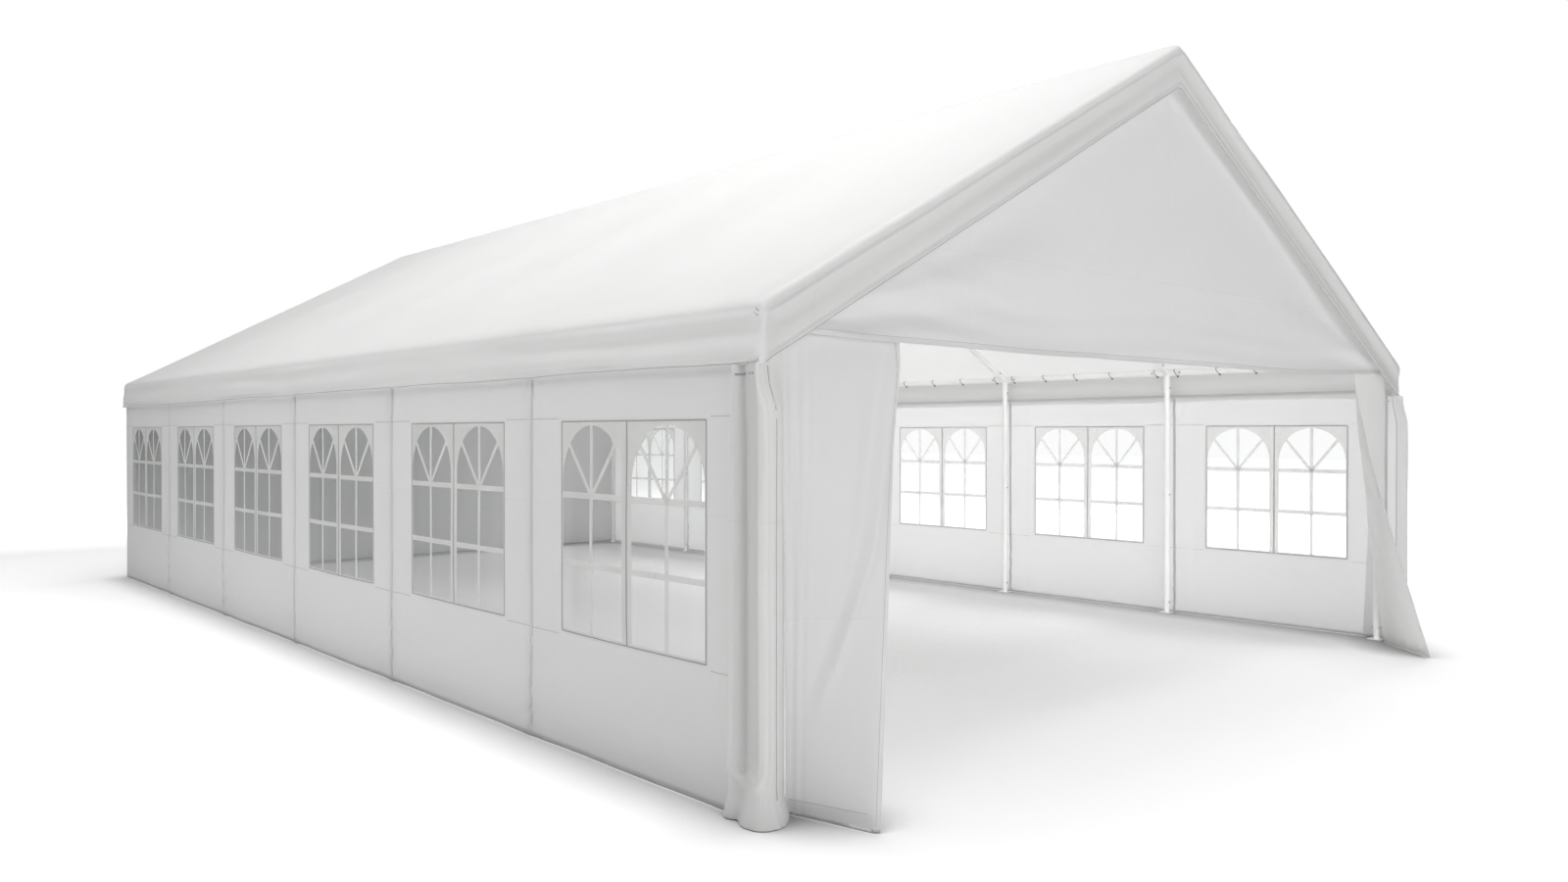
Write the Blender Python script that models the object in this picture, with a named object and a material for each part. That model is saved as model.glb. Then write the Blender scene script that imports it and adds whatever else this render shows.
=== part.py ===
"""Marquee tent, 6 m wide and six bays long: a white steel tube frame under a white tarpaulin.

Metres, +Z up. X runs across the tent, Y runs along it, and the open end faces -Y.
The origin is on the ground, under the middle of the whole outline.
"""

import math

import bmesh
import bpy
from mathutils import Matrix, Vector

# Driving dimensions of the tent
WIDTH = 6.0               # outside of one side wall to outside of the other
BAY = 1.70                # one window bay along the side
BAYS = 6
EAVE = 2.0                # fold of the roof cover at the eave
RIDGE = 3.64              # top of the roof cover at the ridge
VALANCE = 0.235           # skirt of the roof cover along the eaves
RAKE_VALANCE = 0.24       # skirt of the roof cover at the two ends, measured upright
ROOF_REACH = 0.074        # roof cover beyond the end walls
WALL_TOP = 1.81           # upper hem of the side walls
GABLE_BOTTOM = 1.88       # lower hem of the gable triangles
HEM_LIFT = 0.003          # hems hang just off the ground

# Thicknesses: a solid sheet stands for thin tarpaulin
GAP = 0.0003              # between pieces that touch
FABRIC = 0.004
FILM = 0.002
WRAP = 0.006

# Steel tubes
TUBE_R = 0.024
SLEEVE_R = 0.0265
SLEEVE = 0.15             # length of each socket on a tube end
STUB_R = 0.0215           # thinner foot of each leg, welded to its base plate
STUB = 0.08
RAFTER_START = 0.006      # the rafter's square end, inside the eave tube before it is coped
CUT_REACH = 0.2           # cutters run well past the joint they cut
PLATE = 0.10              # square base plate; its edge meets the walls
PLATE_T = 0.005
SIDES = 12

# Windows: each bay has two arch-topped lights side by side
LIGHT_WIDTH = 0.50
LIGHT_INSET = 0.313       # bay seam to the first light
LIGHT_SPACING = 0.575     # one light's near edge to the next one's
LIGHT_BOTTOM = 0.585
LIGHT_TOP = 1.527
FILM_MARGIN = 0.025       # film beyond the lights on every side
ARC_STEPS = 10

# Door flaps at the front: they hang from the gable and their feet swing outwards
FLAP_ROWS = 6
FLAP_COLUMNS = 5
LEFT_FLAP_TOP = (0.15, 0.83)              # from the left wall to the two ends of its top edge
LEFT_FLAP_POST = (0.16, 0.02)             # its foot at the post: from the wall, and outwards
LEFT_FLAP_FREE = (0.26, 0.43)             # its free foot: from the wall, and outwards
RIGHT_FLAP_POST = 0.05                    # from the right wall to the edge at the post
RIGHT_FLAP_WIDTH = (0.58, 0.70)           # at the top and at the foot
RIGHT_FLAP_FOLD = 0.05                    # flat part beside the post at the foot
RIGHT_FLAP_TURN = math.radians(48.6)      # outward turn beyond the fold

# Loose sleeves around the front corners: outlines in plan from the side wall to the doorway,
# as distances outwards from the side wall and backwards from the front
WRAP_OUTLINES = {
    "left": [(0.0066, 0.09), (0.038, 0.075), (0.018, 0.04), (0.050, -0.045), (0.040, -0.105),
             (-0.02, -0.112), (-0.075, -0.085), (-0.135, -0.02)],
    "right": [(0.0066, 0.14), (0.03, 0.08), (0.045, 0.0), (0.050, -0.10), (0.01, -0.11),
              (-0.02, -0.06)],
}

LENGTH = BAY * BAYS
HALF = WIDTH / 2
FLAP_REACH = (RIGHT_FLAP_WIDTH[1] - RIGHT_FLAP_FOLD) * math.sin(RIGHT_FLAP_TURN)
FRONT = -(LENGTH + ROOF_REACH + FABRIC - FLAP_REACH) / 2
BACK = FRONT + LENGTH
LEG_X = HALF - FABRIC - GAP - PLATE / 2
COVER_HALF = HALF + GAP + FABRIC
SLOPE = (RIDGE - EAVE) / COVER_HALF
PITCH = math.atan(SLOPE)
SLEEVE_CORNER = SLEEVE_R / math.cos(math.pi / SIDES)
COVER_LIFT = (SLEEVE_CORNER + GAP + FABRIC) / math.cos(PITCH)
EAVE_AXIS = EAVE + SLOPE * (COVER_HALF - LEG_X) - COVER_LIFT
RIDGE_AXIS = RIDGE - COVER_LIFT
FIRST_FRAME = FRONT + FABRIC + GAP + PLATE / 2
LAST_FRAME = BACK - FABRIC - GAP - PLATE / 2
FRAME_SPACING = (LAST_FRAME - FIRST_FRAME) / BAYS

WHITE_STEEL = ("white_steel", (0.86, 0.86, 0.86), 0.35, 0.1)
ROOF_WHITE = ("roof_white", (0.90, 0.90, 0.90), 0.55, 0.0)
WALL_WHITE = ("wall_white", (0.80, 0.80, 0.80), 0.55, 0.0)
CLEAR_FILM = ("clear_film", (0.85, 0.87, 0.88), 0.12, 0.0)


def clear_scene():
    for obj in list(bpy.data.objects):
        bpy.data.objects.remove(obj, do_unlink=True)


def add_material(node, finish):
    """Give the node a material of its own with the finish's colour, roughness and metal value."""
    label, colour, roughness, metallic = finish
    material = bpy.data.materials.new(f"{node.name}_{label}")
    material.use_nodes = True
    shader = material.node_tree.nodes["Principled BSDF"]
    shader.inputs["Base Color"].default_value = (*colour, 1.0)
    shader.inputs["Roughness"].default_value = roughness
    shader.inputs["Metallic"].default_value = metallic
    if not node.material_slots:
        node.data.materials.append(None)
    node.material_slots[0].link = "OBJECT"
    node.material_slots[0].material = material


def add_node(name, mesh, finish, location=(0, 0, 0), turn=0.0):
    node = bpy.data.objects.new(name, mesh)
    bpy.context.collection.objects.link(node)
    node.location = location
    node.rotation_euler.z = turn
    add_material(node, finish)
    return node


def mesh_from_loops(name, loops):
    """Close a stack of loops with equal point counts, each one bridged to the next."""
    bm = bmesh.new()
    rings = [[bm.verts.new(point) for point in loop] for loop in loops]
    count = len(rings[0])
    for lower, upper in zip(rings, rings[1:]):
        for i in range(count):
            j = (i + 1) % count
            bm.faces.new((lower[i], lower[j], upper[j], upper[i]))
    bm.faces.new(reversed(rings[0]))
    bm.faces.new(rings[-1])
    bmesh.ops.recalc_face_normals(bm, faces=bm.faces)
    mesh = bpy.data.meshes.new(name)
    bm.to_mesh(mesh)
    bm.free()
    return mesh


def circle(radius, z):
    """Loop of a round tube; the half-step turn keeps a flat side towards each neighbour."""
    radius /= math.cos(math.pi / SIDES)
    angles = [(i + 0.5) * 2 * math.pi / SIDES for i in range(SIDES)]
    return [(radius * math.cos(a), radius * math.sin(a), z) for a in angles]


def square(side, z):
    """Loop of a square plate with as many points as a tube has sides."""
    points = []
    for i in range(SIDES):
        a = (i + 0.5) * 2 * math.pi / SIDES
        reach = side / 2 / max(abs(math.cos(a)), abs(math.sin(a)))
        points.append((reach * math.cos(a), reach * math.sin(a), z))
    return points


def stepped_tube(steps):
    """Loops of a tube along Z from (start, end, radius) steps."""
    loops = []
    for start, end, radius in steps:
        loops += [circle(radius, start), circle(radius, end)]
    return loops


def cutter(name, mesh, matrix=None):
    tool = bpy.data.objects.new(name, mesh)
    bpy.context.collection.objects.link(tool)
    tool.hide_render = True
    tool.display_type = "WIRE"
    if matrix is not None:
        tool.matrix_world = matrix
    return tool


def round_cutter(name, start, matrix):
    """Cutter that copes one tube to another, a gap wider than a socket."""
    mesh = mesh_from_loops(name, stepped_tube([(start, CUT_REACH, SLEEVE_R + GAP)]))
    return cutter(name, mesh, matrix)


def carve(mesh, tools):
    """Cut the tools out of the mesh, remove them, and return the mesh that is left."""
    blank = bpy.data.objects.new("blank", mesh)
    bpy.context.collection.objects.link(blank)
    for tool in tools:
        cut = blank.modifiers.new(tool.name, "BOOLEAN")
        cut.operation = "DIFFERENCE"
        cut.solver = "EXACT"
        cut.object = tool
    bpy.context.view_layer.update()
    shaped = blank.evaluated_get(bpy.context.evaluated_depsgraph_get())
    result = bpy.data.meshes.new_from_object(shaped)
    for helper in [blank, *tools]:
        bpy.data.objects.remove(helper, do_unlink=True)
    return result


def along(direction, origin):
    """Matrix that turns local Z into the direction and moves to the origin."""
    turn = Vector(direction).to_track_quat("Z", "Y").to_matrix().to_4x4()
    return Matrix.Translation(origin) @ turn


def prism(name, outline, y_start, y_end):
    """Extrude an outline of (x, z) points along Y."""
    loops = [[(x, y, z) for x, z in outline] for y in (y_start, y_end)]
    return mesh_from_loops(name, loops)


def frame_positions():
    return [FIRST_FRAME + i * FRAME_SPACING for i in range(BAYS + 1)]


def make_legs():
    """Fourteen legs: base plate, foot stub, tube, and an eave socket coped to the eave tube."""
    top = EAVE_AXIS
    loops = [square(PLATE, 0), square(PLATE, PLATE_T)]
    loops += stepped_tube([
        (PLATE_T, STUB, STUB_R),
        (STUB, top - SLEEVE, TUBE_R),
        (top - SLEEVE, top, SLEEVE_R),
    ])
    tool = round_cutter("eave_cut", -CUT_REACH, along((0, 1, 0), (0, 0, top)))
    mesh = carve(mesh_from_loops("leg", loops), [tool])
    for number, y in enumerate(frame_positions(), 1):
        add_node(f"leg_left_{number}", mesh, WHITE_STEEL, (-LEG_X, y, 0))
        add_node(f"leg_right_{number}", mesh, WHITE_STEEL, (LEG_X, y, 0))


def make_rafters():
    """Fourteen rafters, each coped to the eave tube, its leg and the ridge tube."""
    eave = Vector((LEG_X, 0, EAVE_AXIS))
    ridge = Vector((0, 0, RIDGE_AXIS))
    length = (ridge - eave).length
    loops = stepped_tube([
        (RAFTER_START, SLEEVE, SLEEVE_R),
        (SLEEVE, length - SLEEVE, TUBE_R),
        (length - SLEEVE, length + SLEEVE_R, SLEEVE_R),
    ])
    rafter = mesh_from_loops("rafter", loops)
    rafter.transform(along(ridge - eave, eave))
    tools = [
        round_cutter("eave_cut", -CUT_REACH, along((0, 1, 0), eave)),
        round_cutter("ridge_cut", -CUT_REACH, along((0, 1, 0), ridge)),
        round_cutter("leg_cut", 0, along((0, 0, -1), eave)),
        cutter("middle_cut", middle_block()),
    ]
    mesh = carve(rafter, tools)
    for number, y in enumerate(frame_positions(), 1):
        add_node(f"rafter_right_{number}", mesh, WHITE_STEEL, (0, y, 0))
        add_node(f"rafter_left_{number}", mesh, WHITE_STEEL, (0, y, 0), math.pi)


def middle_block():
    """Block that ends a rafter at the middle plane, and clears the top of the ridge tube."""
    edge = GAP / 2
    shoulder = SLEEVE_R / 2
    low = RIDGE_AXIS - CUT_REACH
    high = RIDGE_AXIS + CUT_REACH
    outline = [(-CUT_REACH, low), (edge, low), (edge, RIDGE_AXIS), (shoulder, RIDGE_AXIS),
               (shoulder, high), (-CUT_REACH, high)]
    return prism("middle_cut", outline, -CUT_REACH, CUT_REACH)


def make_long_tubes():
    """Ridge tube and two eave tubes, thicker where the portal frames join them."""
    start = FRONT + FABRIC + GAP
    end = BACK - FABRIC - GAP
    steps = []
    mark = start
    for y in frame_positions():
        socket_start = max(y - SLEEVE, start)
        socket_end = min(y + SLEEVE, end)
        if socket_start > mark:
            steps.append((mark, socket_start, TUBE_R))
        steps.append((socket_start, socket_end, SLEEVE_R))
        mark = socket_end
    mesh = mesh_from_loops("long_tube", stepped_tube(steps))
    mesh.transform(along((0, 1, 0), (0, 0, 0)))
    add_node("ridge_tube", mesh, WHITE_STEEL, (0, 0, RIDGE_AXIS))
    add_node("eave_tube_left", mesh, WHITE_STEEL, (-LEG_X, 0, EAVE_AXIS))
    add_node("eave_tube_right", mesh, WHITE_STEEL, (LEG_X, 0, EAVE_AXIS))


def roof_height(x, drop):
    """Height of the roof cover's top at x, less an upright drop."""
    return RIDGE - SLOPE * abs(x) - drop


def make_roof_cover():
    """One tarpaulin: two slopes, a valance along each eave and a rake valance at each end."""
    bottom = EAVE - VALANCE
    outline = [(-COVER_HALF, bottom), (COVER_HALF, bottom), (COVER_HALF, EAVE), (0, RIDGE),
               (-COVER_HALF, EAVE)]
    y_start = FRONT - ROOF_REACH - FABRIC
    y_end = BACK + ROOF_REACH + FABRIC
    inner = COVER_HALF - FABRIC
    fabric_drop = FABRIC / math.cos(PITCH)
    tools = []
    for name, drop, reach in (("room_cut", fabric_drop, -FABRIC), ("end_cut", RAKE_VALANCE, 0.1)):
        shoulder = roof_height(inner, drop)
        hollow = [(-inner, bottom - 0.1), (inner, bottom - 0.1), (inner, shoulder),
                  (0, roof_height(0, drop)), (-inner, shoulder)]
        tools.append(cutter(name, prism(name, hollow, y_start - reach, y_end + reach)))
    mesh = carve(prism("roof_cover", outline, y_start, y_end), tools)
    add_node("roof_cover", mesh, ROOF_WHITE)


def make_gables():
    """Triangles of tarpaulin that close the two ends above head height."""
    drop = FABRIC / math.cos(PITCH) + GAP / math.cos(PITCH)
    reach = HALF - FABRIC
    outline = [(-reach, GABLE_BOTTOM), (reach, GABLE_BOTTOM), (reach, roof_height(reach, drop)),
               (0, roof_height(0, drop)), (-reach, roof_height(reach, drop))]
    add_node("gable_front", prism("gable_front", outline, FRONT, FRONT + FABRIC), WALL_WHITE)
    add_node("gable_back", prism("gable_back", outline, BACK - FABRIC, BACK), WALL_WHITE)


def make_back_wall():
    reach = HALF - FABRIC - GAP
    top = GABLE_BOTTOM - GAP
    outline = [(-reach, HEM_LIFT), (reach, HEM_LIFT), (reach, top), (-reach, top)]
    add_node("back_wall", prism("back_wall", outline, BACK - FABRIC, BACK), WALL_WHITE)


def light_outline(left):
    """Arch-topped light as (y, z) points, counted from the bay seam."""
    radius = LIGHT_WIDTH / 2
    centre = left + radius
    spring = LIGHT_TOP - radius
    points = [(left, LIGHT_BOTTOM), (left + LIGHT_WIDTH, LIGHT_BOTTOM)]
    for i in range(ARC_STEPS + 1):
        a = math.pi * i / ARC_STEPS
        points.append((centre + radius * math.cos(a), spring + radius * math.sin(a)))
    return points


def make_side_walls():
    """Two panels of three bays on each side, with two lights cut through in each bay."""
    bays = BAYS // 2
    for side, sign in (("left", -1), ("right", 1)):
        for place, first in (("front", 0), ("rear", bays)):
            y_start = FRONT + first * BAY + (GAP if first else 0)
            y_end = FRONT + (first + bays) * BAY
            outline = [(y_start, HEM_LIFT), (y_end, HEM_LIFT), (y_end, WALL_TOP), (y_start, WALL_TOP)]
            sheet = side_prism("wall", outline, sign * (HALF - FABRIC), sign * HALF)
            tools = []
            for bay in range(first, first + bays):
                for light in range(2):
                    left = FRONT + bay * BAY + LIGHT_INSET + light * LIGHT_SPACING
                    shape = light_outline(left)
                    hole = side_prism("light_cut", shape, sign * (HALF - 0.05), sign * (HALF + 0.05))
                    tools.append(cutter("light_cut", hole))
            add_node(f"{side}_wall_{place}", carve(sheet, tools), WALL_WHITE)


def side_prism(name, outline, x_start, x_end):
    """Extrude an outline of (y, z) points along X."""
    return mesh_from_loops(name, [[(x, y, z) for y, z in outline] for x in (x_start, x_end)])


def make_window_films():
    """One strip of clear film behind each side wall closes its lights."""
    near = HALF - FABRIC - GAP
    y_start = FRONT + LIGHT_INSET - FILM_MARGIN
    y_end = BACK - BAY + LIGHT_INSET + LIGHT_SPACING + LIGHT_WIDTH + FILM_MARGIN
    bottom = LIGHT_BOTTOM - FILM_MARGIN
    top = LIGHT_TOP + FILM_MARGIN
    outline = [(y_start, bottom), (y_end, bottom), (y_end, top), (y_start, top)]
    for side, sign in (("left", -1), ("right", 1)):
        strip = side_prism("film", outline, sign * (near - FILM), sign * near)
        add_node(f"{side}_window_film", strip, CLEAR_FILM)


def sheet_from_rows(name, rows, thickness):
    """Closed sheet from rows of points, thickened level and square to each row."""
    bm = bmesh.new()
    front, back = [
        [[bm.verts.new(point_beside(row, i, depth)) for i in range(len(row))] for row in rows]
        for depth in (0, thickness)
    ]
    last_row = len(rows) - 1
    last = len(rows[0]) - 1
    for r in range(last_row):
        for c in range(last):
            bm.faces.new((front[r][c], front[r + 1][c], front[r + 1][c + 1], front[r][c + 1]))
            bm.faces.new((back[r][c], back[r][c + 1], back[r + 1][c + 1], back[r + 1][c]))
        for c in (0, last):
            bm.faces.new((front[r][c], back[r][c], back[r + 1][c], front[r + 1][c]))
    for r in (0, last_row):
        for c in range(last):
            bm.faces.new((front[r][c], front[r][c + 1], back[r][c + 1], back[r][c]))
    bmesh.ops.recalc_face_normals(bm, faces=bm.faces)
    mesh = bpy.data.meshes.new(name)
    bm.to_mesh(mesh)
    bm.free()
    return mesh


def point_beside(row, i, depth):
    """Point i of a row, moved level and square to the row by the depth."""
    run = row[min(i + 1, len(row) - 1)] - row[max(i - 1, 0)]
    side = Vector((-run.y, run.x, 0)).normalized()
    return row[i] + side * depth


def flap_levels():
    """Share of the way down and height of each row of a door flap."""
    top = GABLE_BOTTOM - GAP
    shares = [r / FLAP_ROWS for r in range(FLAP_ROWS + 1)]
    return [(t, top * (1 - t) + HEM_LIFT * t) for t in shares]


def make_left_flap():
    """A ruled sheet between its straight top edge and its foot, which points outwards."""
    post_top, free_top = (Vector((x - HALF, FRONT, 0)) for x in LEFT_FLAP_TOP)
    post_foot, free_foot = (Vector((x - HALF, FRONT - out, 0))
                            for x, out in (LEFT_FLAP_POST, LEFT_FLAP_FREE))
    rows = []
    for t, z in flap_levels():
        start = post_top.lerp(post_foot, t)
        end = free_top.lerp(free_foot, t)
        lift = Vector((0, 0, z))
        rows.append([start.lerp(end, c / FLAP_COLUMNS) + lift for c in range(FLAP_COLUMNS + 1)])
    add_node("front_flap_left", sheet_from_rows("flap", rows, FABRIC), WALL_WHITE)


def make_right_flap():
    """A sheet that lies flat beside its post and turns outwards past a slanting fold."""
    width_top, width_foot = RIGHT_FLAP_WIDTH
    out = Vector((-math.cos(RIGHT_FLAP_TURN), -math.sin(RIGHT_FLAP_TURN), 0))
    rows = []
    for t, z in flap_levels():
        width = width_top * (1 - t) + width_foot * t
        fold = width * (1 - t) + RIGHT_FLAP_FOLD * t
        row = []
        for c in range(FLAP_COLUMNS + 1):
            reach = width * c / FLAP_COLUMNS
            flat = min(reach, fold)
            point = Vector((HALF - RIGHT_FLAP_POST - flat, FRONT, z)) + out * (reach - flat)
            row.append(point)
        rows.append(row)
    add_node("front_flap_right", sheet_from_rows("flap", rows, -FABRIC), WALL_WHITE)


def make_corner_wraps():
    """Loose sleeves of tarpaulin around the two front corners, under the valances."""
    levels = (HEM_LIFT, EAVE - VALANCE - GAP)
    for side, sign in (("left", -1), ("right", 1)):
        outline = WRAP_OUTLINES[side]
        rows = [[Vector((sign * (HALF + x), FRONT + y, z)) for x, y in outline] for z in levels]
        add_node(f"corner_wrap_{side}", sheet_from_rows("wrap", rows, -sign * WRAP), WALL_WHITE)


def main():
    clear_scene()
    make_legs()
    make_rafters()
    make_long_tubes()
    make_roof_cover()
    make_gables()
    make_back_wall()
    make_side_walls()
    make_window_films()
    make_left_flap()
    make_right_flap()
    make_corner_wraps()


main()
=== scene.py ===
"""Looks of the marquee tent: tarpaulin, window film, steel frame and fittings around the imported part.

Metres, +Z up, the open end faces -Y. Sheets are single layers with turned hems, shaped by the
functions below, and what is sewn or printed on a sheet is sampled from the same function.
"""

import math

import bmesh
import bpy
import numpy as np
from mathutils import Matrix, Vector


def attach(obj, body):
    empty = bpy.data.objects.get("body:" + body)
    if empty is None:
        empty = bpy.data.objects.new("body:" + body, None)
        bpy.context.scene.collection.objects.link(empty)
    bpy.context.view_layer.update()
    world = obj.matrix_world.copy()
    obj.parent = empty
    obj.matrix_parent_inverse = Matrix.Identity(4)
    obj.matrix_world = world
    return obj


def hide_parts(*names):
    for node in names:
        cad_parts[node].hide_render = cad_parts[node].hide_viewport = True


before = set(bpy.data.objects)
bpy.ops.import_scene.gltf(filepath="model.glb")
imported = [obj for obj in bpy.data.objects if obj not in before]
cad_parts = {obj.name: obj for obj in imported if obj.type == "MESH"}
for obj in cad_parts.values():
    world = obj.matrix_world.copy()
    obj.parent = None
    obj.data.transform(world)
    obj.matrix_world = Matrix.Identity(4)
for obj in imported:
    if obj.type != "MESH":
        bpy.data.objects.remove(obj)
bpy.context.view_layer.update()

# Dimensions shared with the part's source
WIDTH, BAY, BAYS = 6.0, 1.70, 6
EAVE, RIDGE = 2.0, 3.64
VALANCE, RAKE_VALANCE, ROOF_REACH = 0.235, 0.24, 0.074
WALL_TOP, GABLE_BOTTOM, HEM_LIFT = 1.81, 1.88, 0.003
GAP, FABRIC = 0.0003, 0.004
TUBE_R, SLEEVE_R, SLEEVE = 0.024, 0.0265, 0.15
STUB_R, STUB = 0.0215, 0.08
PLATE, PLATE_T = 0.10, 0.005
LENGTH, HALF = BAY * BAYS, WIDTH / 2
RIGHT_FLAP_TURN = math.radians(48.6)
RIGHT_FLAP_POST, RIGHT_FLAP_WIDTH, RIGHT_FLAP_FOLD = 0.05, (0.58, 0.70), 0.05
FLAP_REACH = (RIGHT_FLAP_WIDTH[1] - RIGHT_FLAP_FOLD) * math.sin(RIGHT_FLAP_TURN)
FRONT = -(LENGTH + ROOF_REACH + FABRIC - FLAP_REACH) / 2
BACK = FRONT + LENGTH
LEG_X = HALF - FABRIC - GAP - PLATE / 2
COVER_HALF = HALF + GAP + FABRIC
SLOPE = (RIDGE - EAVE) / COVER_HALF
PITCH = math.atan(SLOPE)
COVER_LIFT = (SLEEVE_R / math.cos(math.pi / 12) + GAP + FABRIC) / math.cos(PITCH)
EAVE_AXIS = EAVE + SLOPE * (COVER_HALF - LEG_X) - COVER_LIFT
RIDGE_AXIS = RIDGE - COVER_LIFT
FIRST_FRAME = FRONT + FABRIC + GAP + PLATE / 2
LAST_FRAME = BACK - FABRIC - GAP - PLATE / 2
SPACING = (LAST_FRAME - FIRST_FRAME) / BAYS
FRAMES = [FIRST_FRAME + i * SPACING for i in range(BAYS + 1)]

# Window pane in a bay, and the two lights printed on it, counted from the bay seam and the ground
PANE = (0.288, 1.413, 0.560, 1.552)
LIGHT_EDGE, MULLION = 0.010, 0.075
SPRING, BARS = 1.277, (1.208, 0.889)
FAN_REACH, FILM_LAP, FILM_STEP = (0.199, 0.237), 0.012, 0.035

# Width of each band on a sheet, and the heights of its back and its face over that sheet
BANDS = {
    "roof hem": (0.0030, 0.0, 0.0009), "corner lacing": (0.0045, 0.0, 0.0020),
    "bar": (0.028, -0.0004, 0.0012), "upright bar": (0.0252, -0.0004, 0.0014),
    "fan bar": (0.021, -0.0004, 0.0016), "piping": (0.0062, -0.0010, 0.0014),
    "mullion piping": (0.0090, 0.0006, 0.0022), "wall tape": (0.020, -0.0006, 0.0010),
    "wall seam": (0.0015, 0.0, 0.0006), "window seam": (0.0040, 0.0, 0.0009),
    "gable hem": (0.0028, 0.0, 0.0008), "back tape": (0.030, -0.0006, 0.0010),
    "back seam": (0.0022, 0.0, 0.0008), "back row": (0.0030, 0.0, 0.0009),
    "door hem": (0.0026, 0.0, 0.0009), "wrap edge": (0.0034, 0.0, 0.0012),
    "wrap lacing": (0.010, 0.0, 0.0012),
}

# Points across and down the sheets that are drawn as even grids
GABLE_GRID, BACK_ACROSS, WRAP_GRID = (221, 58), 201, (90, 150)
LEFT_FLAP_GRID, RIGHT_FLAP_GRID = (81, 141), (61, 121)

WALL_X = HALF - FABRIC / 2
HEM, FLAP_HEM, WALL_STEP = 0.024, 0.055, 0.024
ROOF_GIRTH = 2 * (VALANCE + HEM + COVER_HALF / math.cos(PITCH))
SEAMS = [FRONT + bay * BAY for bay in range(BAYS + 1)]
SIDES = {"left": -1, "right": 1}


# Smooth noise that is the same on every run

def lattice(ix, iy, seed):
    """Pseudo-random number from -1 to 1 for each pair of whole numbers."""
    n = ix.astype(np.uint64) * np.uint64(374761393) + iy.astype(np.uint64) * np.uint64(668265263)
    n = (n + np.uint64(seed * 9746347 + 12345)) & np.uint64(0xFFFFFFFF)
    n = ((n ^ (n >> np.uint64(13))) * np.uint64(1274126177)) & np.uint64(0xFFFFFFFF)
    n = n ^ (n >> np.uint64(16))
    return (n & np.uint64(0xFFFF)).astype(float) / 32767.5 - 1


def noise(x, y, seed=0):
    """Smooth noise from -1 to 1 with one bump for each unit of x and y."""
    x, y = np.broadcast_arrays(np.asarray(x, float) + 512, np.asarray(y, float) + 512)
    ix, iy = np.floor(x), np.floor(y)
    fx, fy = x - ix, y - iy
    fx, fy = (f * f * f * (f * (f * 6 - 15) + 10) for f in (fx, fy))
    low = lattice(ix, iy, seed) * (1 - fx) + lattice(ix + 1, iy, seed) * fx
    high = lattice(ix, iy + 1, seed) * (1 - fx) + lattice(ix + 1, iy + 1, seed) * fx
    return low * (1 - fy) + high * fy


def rough(x, y, seed=0):
    """Three octaves of noise."""
    return (noise(x, y, seed) + noise(2.1 * x, 2.1 * y, seed + 1) / 2
            + noise(4.3 * x, 4.3 * y, seed + 2) / 4) / 1.4


def crease(x, y, seed=0):
    """Noise with narrow ridges, as in handled cloth, from 0 to 1."""
    return 1 - np.abs(noise(x, y, seed)) ** 0.7


def smooth(value, low, high):
    """0 below low and 1 above high, with a soft step between them."""
    t = np.clip((np.asarray(value, float) - low) / (high - low), 0, 1)
    return t * t * (3 - 2 * t)


def bell(value, centre, width):
    """1 at the centre, falling to 0 on both sides."""
    return np.exp(-((np.asarray(value, float) - centre) / width) ** 2)


def inside(value, low, high, edge):
    """1 between low and high, falling to 0 over a soft edge outside them."""
    return smooth(value, low - edge, low) * (1 - smooth(value, high, high + edge))


# Materials

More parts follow.
